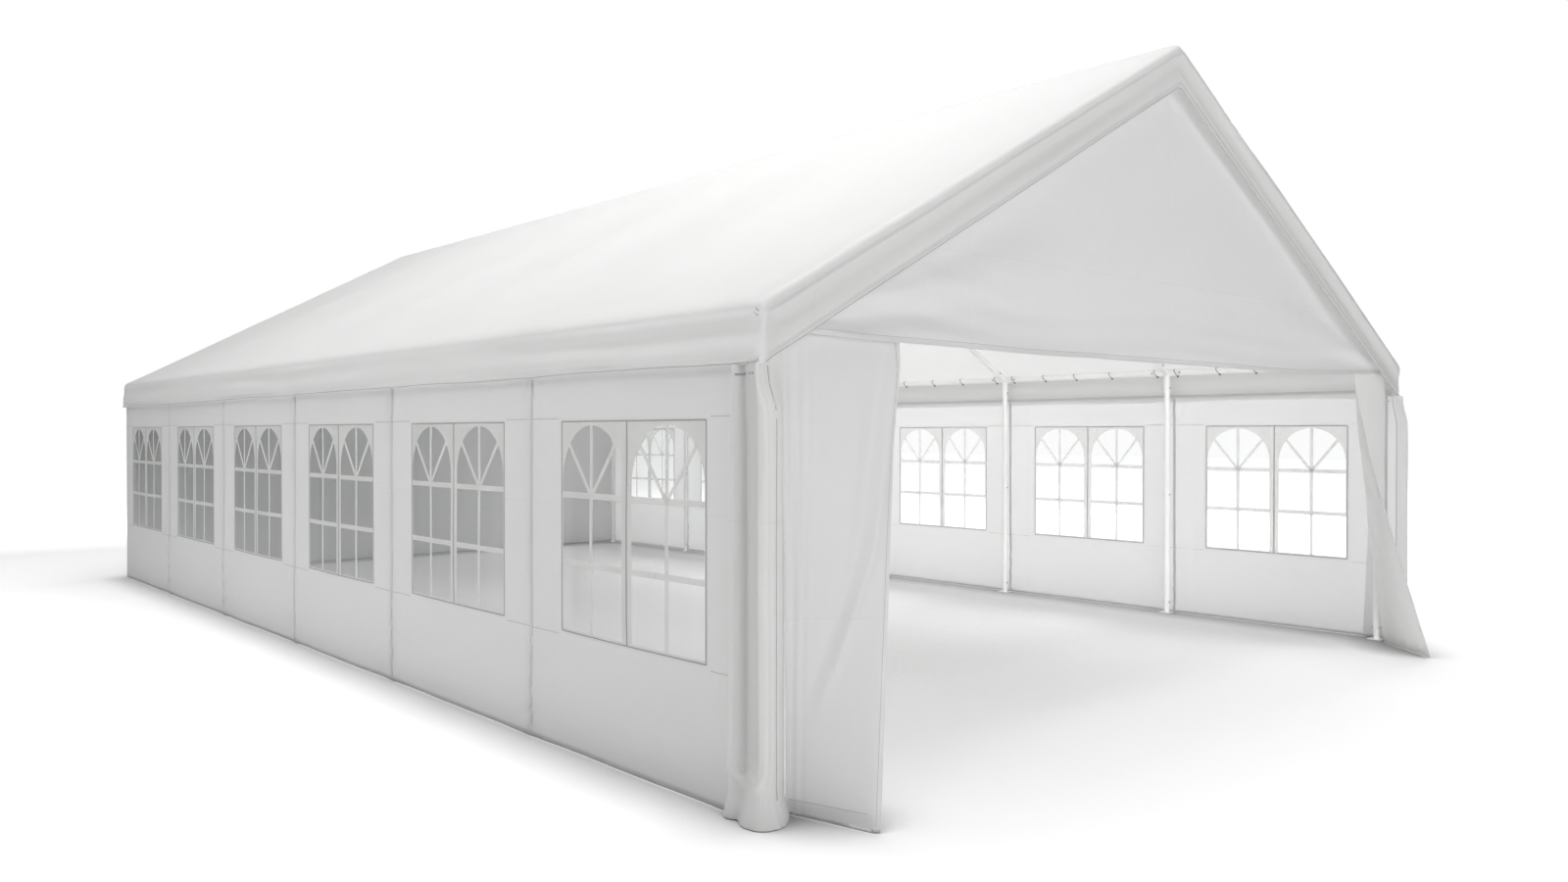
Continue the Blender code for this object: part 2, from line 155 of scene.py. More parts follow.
class Net:
    """A node material under construction."""

    def __init__(self, name, tree=None):
        if tree is None:
            self.material = bpy.data.materials.new(name)
            self.material.use_nodes = True
            tree = self.material.node_tree
        self.tree = tree
        self.tree.nodes.clear()

    def add(self, kind, inputs=None, **settings):
        node = self.tree.nodes.new("ShaderNode" + kind)
        for key, value in settings.items():
            setattr(node, key, value)
        for key, value in (inputs or {}).items():
            self.put(node.inputs[key], value)
        return node

    def put(self, socket, value):
        if isinstance(value, bpy.types.NodeSocket):
            self.tree.links.new(value, socket)
        elif isinstance(value, tuple) and len(value) == 3 and socket.type == "RGBA":
            socket.default_value = (*value, 1)
        else:
            socket.default_value = value

    def math(self, operation, a, b=0.5, clamp=False):
        return self.add("Math", {0: a, 1: b}, operation=operation, use_clamp=clamp).outputs[0]

    def total(self, *terms):
        """Sum of (socket, factor) pairs."""
        whole = None
        for socket, factor in terms:
            part = self.math("MULTIPLY", socket, factor)
            whole = part if whole is None else self.math("ADD", whole, part)
        return whole

    def noise(self, coordinates, scale, detail):
        """Noise at one scale, or with a scale for each axis."""
        if isinstance(scale, tuple):
            coordinates = self.add("Mapping", {"Vector": coordinates, "Scale": scale}).outputs[0]
            scale = 1.0
        node = self.add("TexNoise", {"Vector": coordinates, "Scale": scale, "Detail": detail})
        return node.outputs["Fac"]

    def remap(self, value, low, high, to_low=0.0, to_high=1.0, soft=False):
        """Map the range from low to high onto another one."""
        inputs = {"Value": value, "From Min": low, "From Max": high, "To Min": to_low, "To Max": to_high}
        kind = "SMOOTHSTEP" if soft else "LINEAR"
        return self.add("MapRange", inputs, interpolation_type=kind).outputs["Result"]

    def spread(self, value, low, high):
        """Map 0 to 1 onto the range from low to high."""
        return self.remap(value, 0.0, 1.0, low, high)

    def blend(self, factor, a, b):
        node = self.add("Mix", data_type="RGBA", blend_type="MIX")
        for socket, value in ((node.inputs[0], factor), (node.inputs[6], a), (node.inputs[7], b)):
            self.put(socket, value)
        return node.outputs[2]

    def bump(self, height, strength):
        return self.add("Bump", {"Height": height, "Strength": strength, "Distance": 1.0}).outputs[0]

    def mixed(self, factor, a, b):
        """Shader node that is a where the factor is 0 and b where it is 1."""
        return self.add("MixShader", {0: factor, 1: a.outputs[0], 2: b.outputs[0]})

    def finish(self, shader):
        output = self.add("OutputMaterial")
        self.tree.links.new(shader.outputs[0], output.inputs["Surface"])
        return self.material


def tinted(shade, factor):
    """A shade made lighter or darker, up to white."""
    return tuple(min(1.0, c * factor) for c in shade)


def tarpaulin(name, shade, through, crush=1.0, doubled=None, painted_shade=None):
    """Coated woven tarpaulin: tape weave, thicker threads, folds from its packing and soft crush marks.

    Doubled is how much light passes the two edge strips of the roof, where the cloth lies double.
    Painted shade is a strip between two metre coordinates whose colour is darkened, standing for the shade
    in the hollow of a fold.
    """
    net = Net(name)
    uv = net.add("TexCoord").outputs["UV"]
    split = net.add("SeparateXYZ", {0: uv})
    across, down = split.outputs[0], split.outputs[1]
    warp, weft = (net.math("SINE", net.math("MULTIPLY", c, 2 * math.pi / WEAVE)) for c in (across, down))
    weave = net.math("MULTIPLY", warp, weft)
    streaks = net.math("ADD", net.noise(uv, (160, 5, 1), 2.0), net.noise(uv, (5, 160, 1), 2.0))
    clouds = net.noise(uv, (1.3, 1.3, 1), 4.0)
    crushed = net.noise(uv, (7, 9, 1), 5.0)
    creases = []
    for coordinate, size in ((across, 0.85), (down, 0.58)):
        away = net.math("PINGPONG", coordinate, size)
        creases.append(net.math("SUBTRACT", 1.0, net.math("DIVIDE", away, 0.006), clamp=True))
    folds = net.math("MAXIMUM", *creases)
    colour = net.blend(clouds, tinted(shade, 0.965), tinted(shade, 1.025))
    colour = net.blend(net.spread(streaks, -0.2, 0.5), colour, tinted(shade, 0.955))
    colour = net.blend(net.math("MULTIPLY", folds, 0.12), colour, tinted(shade, 0.80))
    # Painted shade: the colour is darkened in a strip across the sheet, above its foot.
    if painted_shade:
        low, high = painted_shade
        rise = net.remap(across, low - 0.05, low, soft=True)
        fall = net.remap(across, high + 0.02, high, soft=True)
        above = net.remap(down, 0.14, 0.26)
        strip = net.math("MULTIPLY", net.math("MULTIPLY", rise, fall), above)
        colour = net.blend(strip, colour, tinted(shade, 0.80))
    roughness = net.math("ADD", net.spread(crushed, 0.38, 0.58), net.math("MULTIPLY", folds, 0.08))
    height = net.total((weave, 0.00006), (streaks, 0.00035), (crushed, 0.006 * crush), (folds, 0.0007))
    bump = net.bump(height, 0.6)
    body = net.add("BsdfPrincipled", {
        "Base Color": colour, "Roughness": roughness, "Normal": bump, "Specular IOR Level": 0.35,
        "Sheen Weight": 0.05, "Sheen Roughness": 0.5,
    })
    glow = net.add("BsdfTranslucent", {"Color": colour, "Normal": bump})
    if doubled is not None:
        edge = net.math("MINIMUM", across, net.math("SUBTRACT", ROOF_GIRTH, across))
        through = net.remap(edge, VALANCE, VALANCE + 2 * HEM, doubled, through)
    return net.finish(net.mixed(through, body, glow))


def clear_film():
    """Clear window film: nearly invisible straight on, greyer and glossier at a slant, faintly scuffed."""
    net = Net("clear_film")
    uv = net.add("TexCoord").outputs["UV"]
    scuffs = net.noise(uv, (9, 3, 1), 6.0)
    ripples = net.noise(uv, (3, 1.2, 1), 2.0)
    bump = net.bump(net.math("MULTIPLY", ripples, 0.010), 0.5)
    facing = net.add("LayerWeight", {"Blend": 0.5}).outputs["Facing"]
    cover = net.remap(facing, 0.28, 0.82, 0.02, 0.64, soft=True)
    cover = net.math("ADD", cover, net.spread(scuffs, -0.02, 0.03), clamp=True)
    surface = net.add("BsdfPrincipled", {
        "Base Color": net.blend(scuffs, (0.20, 0.21, 0.21), (0.27, 0.28, 0.28)),
        "Roughness": net.spread(scuffs, 0.10, 0.24), "Normal": bump, "Specular IOR Level": 0.5,
    })
    see = net.add("BsdfTransparent", {"Color": (0.985, 0.99, 0.99)})
    return net.finish(net.mixed(cover, see, surface))


def coated(name, shade, roughness, grain=1.0, metallic=0.0, coat=0.25, through=0.0, clear=0.0):
    """Powder coat, plated metal, plastic or ink with fine grain, uneven gloss and scuffs."""
    net = Net(name)
    place = net.add("TexCoord").outputs["Object"]
    grit = net.noise(place, 420.0, 3.0)
    patches = net.noise(place, 6.0, 4.0)
    worn = net.remap(net.noise(place, (60, 60, 9), 5.0), 0.64, 0.74)
    tone = net.blend(patches, tinted(shade, 0.95), tinted(shade, 1.02))
    tone = net.blend(net.math("MULTIPLY", worn, 0.35), tone, tinted(shade, 0.72))
    uneven = net.spread(patches, roughness - 0.06, roughness + 0.08)
    gloss = net.math("ADD", uneven, net.math("MULTIPLY", worn, 0.15))
    bump = net.bump(net.total((grit, 0.00025 * grain), (worn, -0.0002)), 0.5)
    shader = net.add("BsdfPrincipled", {
        "Base Color": tone, "Roughness": gloss, "Normal": bump, "Metallic": metallic,
        "Coat Weight": coat, "Coat Roughness": 0.25,
    })
    if through:
        shader = net.mixed(through, shader, net.add("BsdfTranslucent", {"Color": tone, "Normal": bump}))
    if clear:
        shader = net.mixed(clear, shader, net.add("BsdfTransparent", {"Color": (1.0, 1.0, 1.0)}))
    return net.finish(shader)


def corded(name, shade):
    """Braided elastic cord."""
    net = Net(name)
    place = net.add("TexCoord").outputs["Object"]
    wave = {"Vector": place, "Scale": 260.0, "Distortion": 2.0}
    braid = net.add("TexWave", wave, bands_direction="DIAGONAL").outputs["Fac"]
    fuzz = net.noise(place, 900.0, 2.0)
    bump = net.bump(net.total((braid, 0.0006), (fuzz, 0.0002)), 0.7)
    return net.finish(net.add("BsdfPrincipled", {
        "Base Color": net.blend(braid, tinted(shade, 0.7), shade),
        "Roughness": net.spread(fuzz, 0.6, 0.85), "Normal": bump,
    }))


# Distance between two threads of the weave
WEAVE = 0.004

ROOF = tarpaulin("roof_tarpaulin", (0.86, 0.86, 0.855), 0.35, crush=0.7, doubled=0.08)
WALL = tarpaulin("wall_tarpaulin", (0.86, 0.865, 0.86), 0.40)
TAPE = tarpaulin("seam_tape", (0.85, 0.855, 0.85), 0.36, crush=0.3)
# The left sleeve's cloth is a lighter copy of the wall cloth, painted light, with a strip of painted shade
# in the hollow of its fold.
LIT_SLEEVE_CLOTH = tarpaulin("lit_sleeve_tarpaulin", (0.93, 0.93, 0.925), 0.40, painted_shade=(0.13, 0.235))
# The right flap's cloth is a lighter, more translucent copy of the wall cloth, painted light.
LIT_FLAP_CLOTH = tarpaulin("lit_flap_tarpaulin", (0.93, 0.93, 0.925), 0.60)
FILM_LOOK = clear_film()
PRINT = coated("printed_bars", (0.93, 0.93, 0.92), 0.42, 0.4, coat=0.1, through=0.55, clear=0.20)
THREAD = coated("seam_thread", (0.36, 0.36, 0.355), 0.7, 2.0, coat=0.0)
PALE_THREAD = coated("pale_thread", (0.60, 0.60, 0.595), 0.7, 2.0, coat=0.0)
STEEL = coated("white_steel", (0.95, 0.95, 0.945), 0.32)
ZINC = coated("zinc_bolt", (0.62, 0.63, 0.64), 0.36, metallic=1.0, coat=0.0)
CORD = corded("elastic_cord", (0.10, 0.10, 0.105))
HOLE = coated("dark_plug", (0.08, 0.08, 0.08), 0.6, coat=0.0)


# Mesh helpers

def new_piece(name, verts, faces, material, slot, uv=None, sharp=None, weld=0.0):
    """Mesh object that rides on the tent's one body."""
    mesh = bpy.data.meshes.new(name)
    mesh.from_pydata([tuple(v) for v in verts], [], [tuple(int(i) for i in f) for f in faces])
    if uv is not None:
        layer = mesh.uv_layers.new(name="UVMap")
        corners = np.empty(len(mesh.loops), np.int32)
        mesh.loops.foreach_get("vertex_index", corners)
        layer.data.foreach_set("uv", np.asarray(uv, np.float32)[corners].ravel())
    if weld:
        bm = bmesh.new()
        bm.from_mesh(mesh)
        bmesh.ops.remove_doubles(bm, verts=bm.verts, dist=weld)
        bm.to_mesh(mesh)
        bm.free()
    mesh.polygons.foreach_set("use_smooth", [True] * len(mesh.polygons))
    if sharp is not None:
        mesh.set_sharp_from_angle(angle=math.radians(sharp))
    mesh.materials.append(material)
    mesh.update()
    piece = bpy.data.objects.new(name, mesh)
    bpy.context.scene.collection.objects.link(piece)
    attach(piece, "root")
    if slot == "white_steel":
        STEEL_PIECES.objects.link(piece)
    return piece


def grid_faces(shape):
    """Four-cornered faces of a grid with that many rows and columns, and the numbers of its points."""
    index = np.arange(shape[0] * shape[1]).reshape(shape[:2])
    return np.stack([index[:-1, :-1], index[:-1, 1:], index[1:, 1:], index[1:, :-1]], -1), index


def grid_piece(name, points, uv, material, slot, holes=None, flip=False, **options):
    """One sheet from a grid of points, with no faces where holes is true."""
    quads = grid_faces(points.shape)[0]
    if flip:
        quads = quads[..., ::-1]
    quads = quads.reshape(-1, 4)
    if holes is not None:
        quads = quads[~holes.ravel()]
    used, packed = np.unique(quads, return_inverse=True)
    return new_piece(name, points.reshape(-1, 3)[used], packed.reshape(-1, 4), material, slot,
                     uv=uv.reshape(-1, 2)[used], **options)


class Shape:
    """Vertices and faces of many small things that become one piece."""

    def __init__(self):
        self.verts, self.faces, self.uv, self.count = [], [], [], 0

    def add(self, verts, faces, uv=None):
        verts = np.asarray(verts, float).reshape(-1, 3)
        self.faces += [tuple(int(i) + self.count for i in f) for f in faces]
        self.verts.append(verts)
        self.uv.append(verts[:, 1:] if uv is None else np.asarray(uv, float).reshape(-1, 2))
        self.count += len(verts)

    def add_moved(self, other, matrix):
        verts = np.concatenate(other.verts)
        m = np.array(matrix)
        self.add(verts @ m[:3, :3].T + m[:3, 3], other.faces, np.concatenate(other.uv))

    def piece(self, name, material, slot, **options):
        return new_piece(name, np.concatenate(self.verts), self.faces, material, slot,
                         uv=np.concatenate(self.uv), **options)


def rings(loops):
    """Faces that bridge loops of equal length and close both ends."""
    loops = np.asarray(loops, float)
    count, n = loops.shape[:2]
    faces = []
    for k in range(count - 1):
        for i in range(n):
            j = (i + 1) % n
            faces.append((k * n + i, k * n + j, (k + 1) * n + j, (k + 1) * n + i))
    faces.append(tuple(range(n))[::-1])
    faces.append(tuple((count - 1) * n + i for i in range(n)))
    return loops.reshape(-1, 3), faces


def lathe(profile, sides=32):
    """Round solid along Z from (radius, height) pairs."""
    angles = np.arange(sides) * 2 * math.pi / sides
    loops = [[(r * math.cos(a), r * math.sin(a), z) for a in angles] for r, z in profile]
    shape = Shape()
    shape.add(*rings(loops))
    return shape


def along(direction, origin):
    """Turns +Z to a direction and moves to an origin."""
    turn = Vector(direction).to_track_quat("Z", "Y").to_matrix().to_4x4()
    return Matrix.Translation(origin) @ turn


def run_of(path):
    """Distance of each point of a path from its start."""
    return np.concatenate([[0], np.cumsum(np.linalg.norm(np.diff(path, axis=0), axis=1))])


def tangents_of(path):
    """Unit vector along a path at each of its points."""
    tangents = np.gradient(path, axis=0)
    return tangents / np.linalg.norm(tangents, axis=1)[:, None]


def between(a, b, share):
    """The point or number at a share of the way from a to b."""
    return a * (1 - share) + b * share


def plane_grid(across, down):
    """Pairs of coordinates on a grid, from those of one row and one column."""
    return np.stack(np.broadcast_arrays(across[None, :], down[:, None]), -1)


def tube_along(shape, path, radius, sides=8):
    """Add a round cord that follows a path of points."""
    path = np.asarray(path, float)
    tangents = tangents_of(path)
    angles = np.arange(sides) * 2 * math.pi / sides
    side = np.cross(tangents[0], (0.31, 0.17, 0.93))
    loops = []
    for point, tangent in zip(path, tangents):
        side = side - tangent * (side @ tangent)
        side /= np.linalg.norm(side)
        other = np.cross(tangent, side)
        loops.append([point + radius * (math.cos(a) * side + math.sin(a) * other) for a in angles])
    shape.add(*rings(loops))


def ribbon(shape, kind, line, surface, step=0.05, turned=False):
    """Add a flat band with bevelled edges along a line in a surface's coordinates.

    A turned band lies on the other face of the surface.
    """
    width, low, high = BANDS[kind]
    if turned:
        low, high = -high, -low
    line = np.asarray(line, float)
    runs = np.linalg.norm(np.diff(line, axis=0), axis=1)
    dense = [line[0]]
    for a, b, run in zip(line, line[1:], runs):
        count = max(1, int(math.ceil(run / step)))
        dense += [a + (b - a) * k / count for k in range(1, count + 1)]
    dense = np.array(dense)
    tangents = tangents_of(dense)
    side = np.stack([-tangents[:, 1], tangents[:, 0]], -1)
    edge = min(0.0012, width / 4)
    corners = ((-width / 2, low), (-width / 2 + edge, high), (width / 2 - edge, high), (width / 2, low))
    flat = [dense + side * off for off, _ in corners]
    loops = np.stack([surface(*spots.T, lift) for spots, (_, lift) in zip(flat, corners)], 1)
    shape.add(*rings(loops), np.stack(flat, 1).reshape(-1, 2))


def slab(shape, lower, upper, surface, low=-0.0004, high=0.0008, layers=4):
    """Add a thin slab that fills the space between two curves in a surface's coordinates."""
    levels = np.linspace(0, 1, layers + 1)[:, None, None]
    flat = between(np.asarray(lower, float)[None], np.asarray(upper, float)[None], levels)
    p, q = flat[..., 0].ravel(), flat[..., 1].ravel()
    top, bottom = surface(p, q, high), surface(p, q, low)
    quads, index = grid_faces(flat.shape)
    size = index.size
    faces = [tuple(f) for f in quads.reshape(-1, 4)]
    faces += [tuple(i + size for i in f[::-1]) for f in faces]
    border = list(index[0]) + list(index[1:, -1]) + list(index[-1, -2::-1]) + list(index[-2:0:-1, 0])
    for a, b in zip(border, border[1:] + border[:1]):
        faces.append((a, a + size, b + size, b))
    shape.add(np.concatenate([top, bottom]), faces, np.tile(np.stack([p, q], -1), (2, 1)))


# Camera, light and floor

def make_camera():
    data = bpy.data.cameras.new("camera")
    data.lens = CAMERA_LENS
    data.sensor_width = 36.0
    camera = bpy.data.objects.new("camera", data)
    camera.location = CAMERA_PLACE
    camera.rotation_euler = (math.radians(90 - CAMERA_DIP), 0, math.radians(CAMERA_TURN))
    bpy.context.scene.collection.objects.link(camera)
    bpy.context.scene.camera = camera


def add_area(name, place, target, size, power, only=None):
    """Soft light of one size at a place, aimed at a target, for some pieces only if they are given."""
    data = bpy.data.lights.new(name, "AREA")
    data.shape = "RECTANGLE"
    data.size, data.size_y = size
    data.energy = power
    light = bpy.data.objects.new(name, data)
    light.visible_camera = False
    if only:
        light.light_linking.receiver_collection = only
    turn = (Vector(target) - Vector(place)).to_track_quat("-Z", "Y").to_matrix().to_4x4()
    light.matrix_world = Matrix.Translation(place) @ turn
    bpy.context.scene.collection.objects.link(light)


def make_light():
    world = bpy.data.worlds.new("studio")
    bpy.context.scene.world = world
    world.use_nodes = True
    net = Net("studio", world.node_tree)
    height = net.add("SeparateXYZ", {0: net.add("TexCoord").outputs["Generated"]}).outputs[2]
    strength = net.remap(height, -0.1, 0.9, *DOME, soft=True)
    dome = net.add("Background", {"Color": (1, 1, 1), "Strength": strength})
    seen = net.add("Background", {"Color": (1, 1, 1), "Strength": 1.0})
    mixed = net.mixed(net.add("LightPath").outputs["Is Camera Ray"], dome, seen)
    output = net.add("OutputWorld")
    net.tree.links.new(mixed.outputs[0], output.inputs["Surface"])
    for softbox in SOFTBOXES:
        add_area(*softbox)
    settings = bpy.context.scene.view_settings
    settings.view_transform = "Standard"
    settings.look = "None"


def make_floor():
    """Pale floor that glows softly, less under and beside the tent, where its shadow lies."""
    mesh = bpy.data.meshes.new("floor")
    corners = [(x * FLOOR_HALF, y * FLOOR_HALF, 0) for x, y in ((-1, -1), (1, -1), (1, 1), (-1, 1))]
    mesh.from_pydata(corners, [], [(0, 1, 2, 3)])
    floor = bpy.data.objects.new("floor", mesh)
    floor.location.z = -0.0015
    net = Net("pale_floor")
    place = net.add("TexCoord").outputs["Object"]
    grain = net.noise(place, 30.0, 3.0)
    shadow, contact_shadow = (net.add("AmbientOcclusion", {"Distance": reach}, samples=8).outputs["AO"]
                     for reach in (SHADOW_REACH, TOUCH_REACH))
    level = net.remap(shadow, 0.25, 0.52, *FLOOR_GLOW)
    split = net.add("SeparateXYZ", {0: place})
    beyond = [net.math("SUBTRACT", net.math("ABSOLUTE", split.outputs[k]), half)
              for k, half in ((0, 3.1), (1, 5.3))]
    far = net.remap(net.math("MAXIMUM", *beyond), 2.0, 7.0)
    seen = net.math("MULTIPLY", far, net.add("LightPath").outputs["Is Camera Ray"])
    # Painted contact shadow: the floor's glow and colour darken where the tent stands close by.
    lit = net.math("MULTIPLY", net.math("MAXIMUM", level, seen), contact_shadow)
    pale = net.blend(grain, (0.80, 0.80, 0.80), (0.82, 0.82, 0.82))
    matt = net.add("BsdfDiffuse", {"Color": net.blend(contact_shadow, (0.06, 0.06, 0.06), pale)})
    glow = net.add("Emission", {"Color": (1, 1, 1), "Strength": lit})
    both = net.add("AddShader", {0: matt.outputs[0], 1: glow.outputs[0]})
    mesh.materials.append(net.finish(both))
    bpy.context.scene.collection.objects.link(floor)


STEEL_PIECES = bpy.data.collections.new("steel_pieces")
CAMERA_PLACE, CAMERA_LENS = (-5.868, -8.344, 1.499), 26.73
CAMERA_DIP, CAMERA_TURN = 0.402, -41.324
DOME, FLOOR_GLOW = (0.0, 0.04), (0.0, 0.26)
FLOOR_HALF, SHADOW_REACH, TOUCH_REACH = 60.0, 4.0, 0.36
SOFTBOXES = [
    ("top_softbox", (-2.0, -0.2, 11.0), (-0.6, 0, 2.0), (14.0, 18.0), 2120.0),
    ("front_softbox", (-3.0, -15.0, 5.5), (0, -3.0, 1.6), (9.0, 6.0), 550.0),
    ("far_softbox", (14.0, 2.0, 7.0), (0, 0, 2.0), (12.0, 6.0), 1700.0),
    ("steel_softbox", (-6.5, -12.0, 1.2), (2.0, -2.0, 1.2), (3.0, 1.6), 520.0, STEEL_PIECES),
]


# Roof tarpaulin

EAVE_FOLD, RIDGE_FOLD, RAKE_FOLD = 0.045, 0.035, 0.040
SKIRT_ROWS, FOLD_STEPS, SLOPE_STEPS, ROOF_STEPS = 11, 3, 62, 236
ROOF_FRONT = FRONT - ROOF_REACH - FABRIC + 0.001
ROOF_BACK = BACK + ROOF_REACH + FABRIC - 0.001


def between_frames(y):
    """0 at a portal frame and 1 midway to the next."""
    return np.sin(math.pi * (np.asarray(y, float) - FIRST_FRAME) / SPACING) ** 2


def frame_bump(y, width):
    """1 at a portal frame, falling to 0 beside it."""
    return sum(bell(y, f, width) for f in FRAMES)


def roof_offset(x, y):
    """How far the cover stands off its true plane: it sinks between rafters and wrinkles slightly."""
    up = 1 - np.abs(x) / COVER_HALF
    body = np.sin(math.pi * np.clip(up, 0, 1)) ** 0.8
    offset = -0.016 * between_frames(y) * body
    offset += 0.0016 * frame_bump(y, 0.035) * body
    offset += 0.0030 * rough(x * 1.7 + 4, y * 1.2, 11) * body
    offset += 0.0022 * crease(x * 1.1 + 9, y * 2.3 + x * 0.6, 17) * body
    near_eave = 1 - smooth(up, 0.0, 0.16)
    offset += 0.0035 * near_eave * noise(y * 5.5, up * 6, 23) * smooth(up, 0.0, 0.03)
    tubes = bell(np.abs(x), LEG_X, 0.08) + bell(np.abs(x), 0.0, 0.08)
    return offset * (1 - tubes) + 0.0015 * tubes


def eave_line(y, side):
    """Small lift of the eave fold over the frame's sockets, shared by the slope and the valance."""
    return 0.0025 * frame_bump(y, 0.10) + 0.0025 * noise(y * 1.4, 0.5, 31 + side)


def valance_offset(y, h, side):
    """Outward waves of the eave valance, h from 0 at the fold to 1 at the hem."""
    drift = 0.16 * noise(y * 0.45, 3.3, 41 + side) + 0.05 * noise(y * 1.7, 6.1, 42 + side)
    strength = 0.8 + 0.5 * noise(y * 0.9, 8.1, 43 + side)
    ridges = np.sin(2 * math.pi * (1.65 * h + 0.12 + drift)) * strength
    offset = 0.0085 * ridges * smooth(h, 0.02, 0.2) * (1 - 0.6 * smooth(h, 0.8, 1.0))
    narrow = bell(h, 0.36 + 0.5 * drift, 0.05) * (0.5 + 0.5 * noise(y * 0.7, 1.9, 45 + side))
    offset += 0.0040 * narrow
    offset += 0.0040 * noise(y * 2.6 + h, h * 3.0, 47 + side) * smooth(h, 0.0, 0.3)
    offset += 0.0022 * crease(y * 4.0 + h * 1.5, h * 2.2, 53 + side) * smooth(h, 0.0, 0.3)
    return offset + 0.017 * h ** 1.3 + 0.004


def rake_offset(x, h, end):
    """Forward waves of the rake valance: soft ridges that run with the slope."""
    drift = 0.09 * noise(x * 0.55, 2.2, 61 + end)
    strength = 0.85 + 0.35 * noise(x * 0.8, 5.1, 63 + end)
    ridges = np.sin(2 * math.pi * (1.45 * h - 0.02 + drift)) * strength
    offset = 0.013 * ridges * smooth(h, 0.0, 0.12) * (1 - 0.45 * smooth(h, 0.75, 1.0))
    fine = np.sin(2 * math.pi * (4.1 * h + 0.6 * noise(x * 0.7, 9.9, 65 + end)))
    offset += 0.0030 * fine * inside(h, 0.1, 0.6, 0.1)
    offset += 0.0040 * noise(x * 1.8, h * 2.4, 67 + end) * smooth(h, 0.0, 0.3)
    return offset - 0.016 * h ** 1.5 + 0.002


def hem_profile(length):
    """Distance below the fold and outward step of each row of a valance, with a turned-up hem."""
    flat = [length * k / SKIRT_ROWS for k in range(1, SKIRT_ROWS + 1)]
    rows = [(d, 0.0) for d in flat if d < length - HEM - 0.012]
    return rows + [(length - HEM - 0.001, 0.0), (length - HEM, 0.0013), (length - 0.002, 0.0014),
                   (length, 0.0), (length - 0.002, -0.0016), (length - HEM, -0.0012)]


def arc_rows(centre, radius, angles):
    """Rows of x, z and outward normal around a fold."""
    normals = [np.array([math.cos(a), math.sin(a)]) for a in angles]
    return [(*(centre + radius * n), *n, 0.0, 0.0) for n in normals]


def roof_section():
    """Rows of the cover from hem to hem, and how many of them hang below each eave fold.

    Each row has x, z, outward normal, share down the valance and outward step of the hem.
    """
    ridge = np.array([0, RIDGE - 0.001])
    half = COVER_HALF - 0.001
    eave = np.array([half, ridge[1] - SLOPE * half])
    slope = np.array([-math.cos(PITCH), math.sin(PITCH)])
    turn = math.pi / 2 - PITCH
    cut = EAVE_FOLD * math.tan(turn / 2)
    centre = eave - np.array([EAVE_FOLD, cut])
    steps = range(1, FOLD_STEPS + 1)
    lower = arc_rows(centre, EAVE_FOLD, [turn / 2 * (1 - k / FOLD_STEPS) for k in steps])
    lower += [(eave[0], eave[1] - d, 1.0, 0.0, d / VALANCE, out)
              for d, out in hem_profile(VALANCE) if d > cut]
    upper = arc_rows(centre, EAVE_FOLD, [turn / 2 + turn / 2 * k / FOLD_STEPS for k in (0, *steps)])
    start, end = eave + slope * cut, ridge - slope * RIDGE_FOLD * math.tan(PITCH)
    for k in range(1, SLOPE_STEPS + 1):
        t = k / SLOPE_STEPS
        t += 0.10 * math.sin(2 * math.pi * t) / (2 * math.pi)
        upper.append((*(start + (end - start) * t), math.sin(PITCH), math.cos(PITCH), 0.0, 0.0))
    top = ridge - np.array([0, RIDGE_FOLD / math.cos(PITCH)])
    upper += arc_rows(top, RIDGE_FOLD, [math.pi / 2 - PITCH * (1 - k / FOLD_STEPS) for k in steps])
    right = lower[::-1] + upper
    left = [(-x, z, -nx, nz, h, out) for x, z, nx, nz, h, out in right[:-1]][::-1]
    return np.array(right + left), len(lower)


def roof_columns():
    """Columns of the cover from the front hem to the back one, and how many hang beyond each rake fold.

    Each column has y, drop, the end it hangs at, share down the valance and outward step of the hem.
    """
    angles = [math.pi / 4 + math.pi / 4 * k / FOLD_STEPS for k in range(FOLD_STEPS, 0, -1)]
    angles += [math.pi / 4 * (1 - k / FOLD_STEPS) for k in range(FOLD_STEPS + 1)]
    rake = [(RAKE_FOLD * (1 - math.cos(a)), RAKE_FOLD * (1 - math.sin(a)), 0.0, 0.0) for a in angles]
    hang = [(0.0, d, d / RAKE_VALANCE, out) for d, out in hem_profile(RAKE_VALANCE) if d > RAKE_FOLD]
    rake += hang
    body = np.linspace(ROOF_FRONT + RAKE_FOLD, ROOF_BACK - RAKE_FOLD, ROOF_STEPS)[1:-1]
    columns = [(ROOF_FRONT + inset, drop, -1.0, h, out) for inset, drop, h, out in rake[::-1]]
    columns += [(y, 0.0, 0.0, 0.0, 0.0) for y in body]
    columns += [(ROOF_BACK - inset, drop, 1.0, h, out) for inset, drop, h, out in rake]
    return np.array(columns), FOLD_STEPS + len(hang)


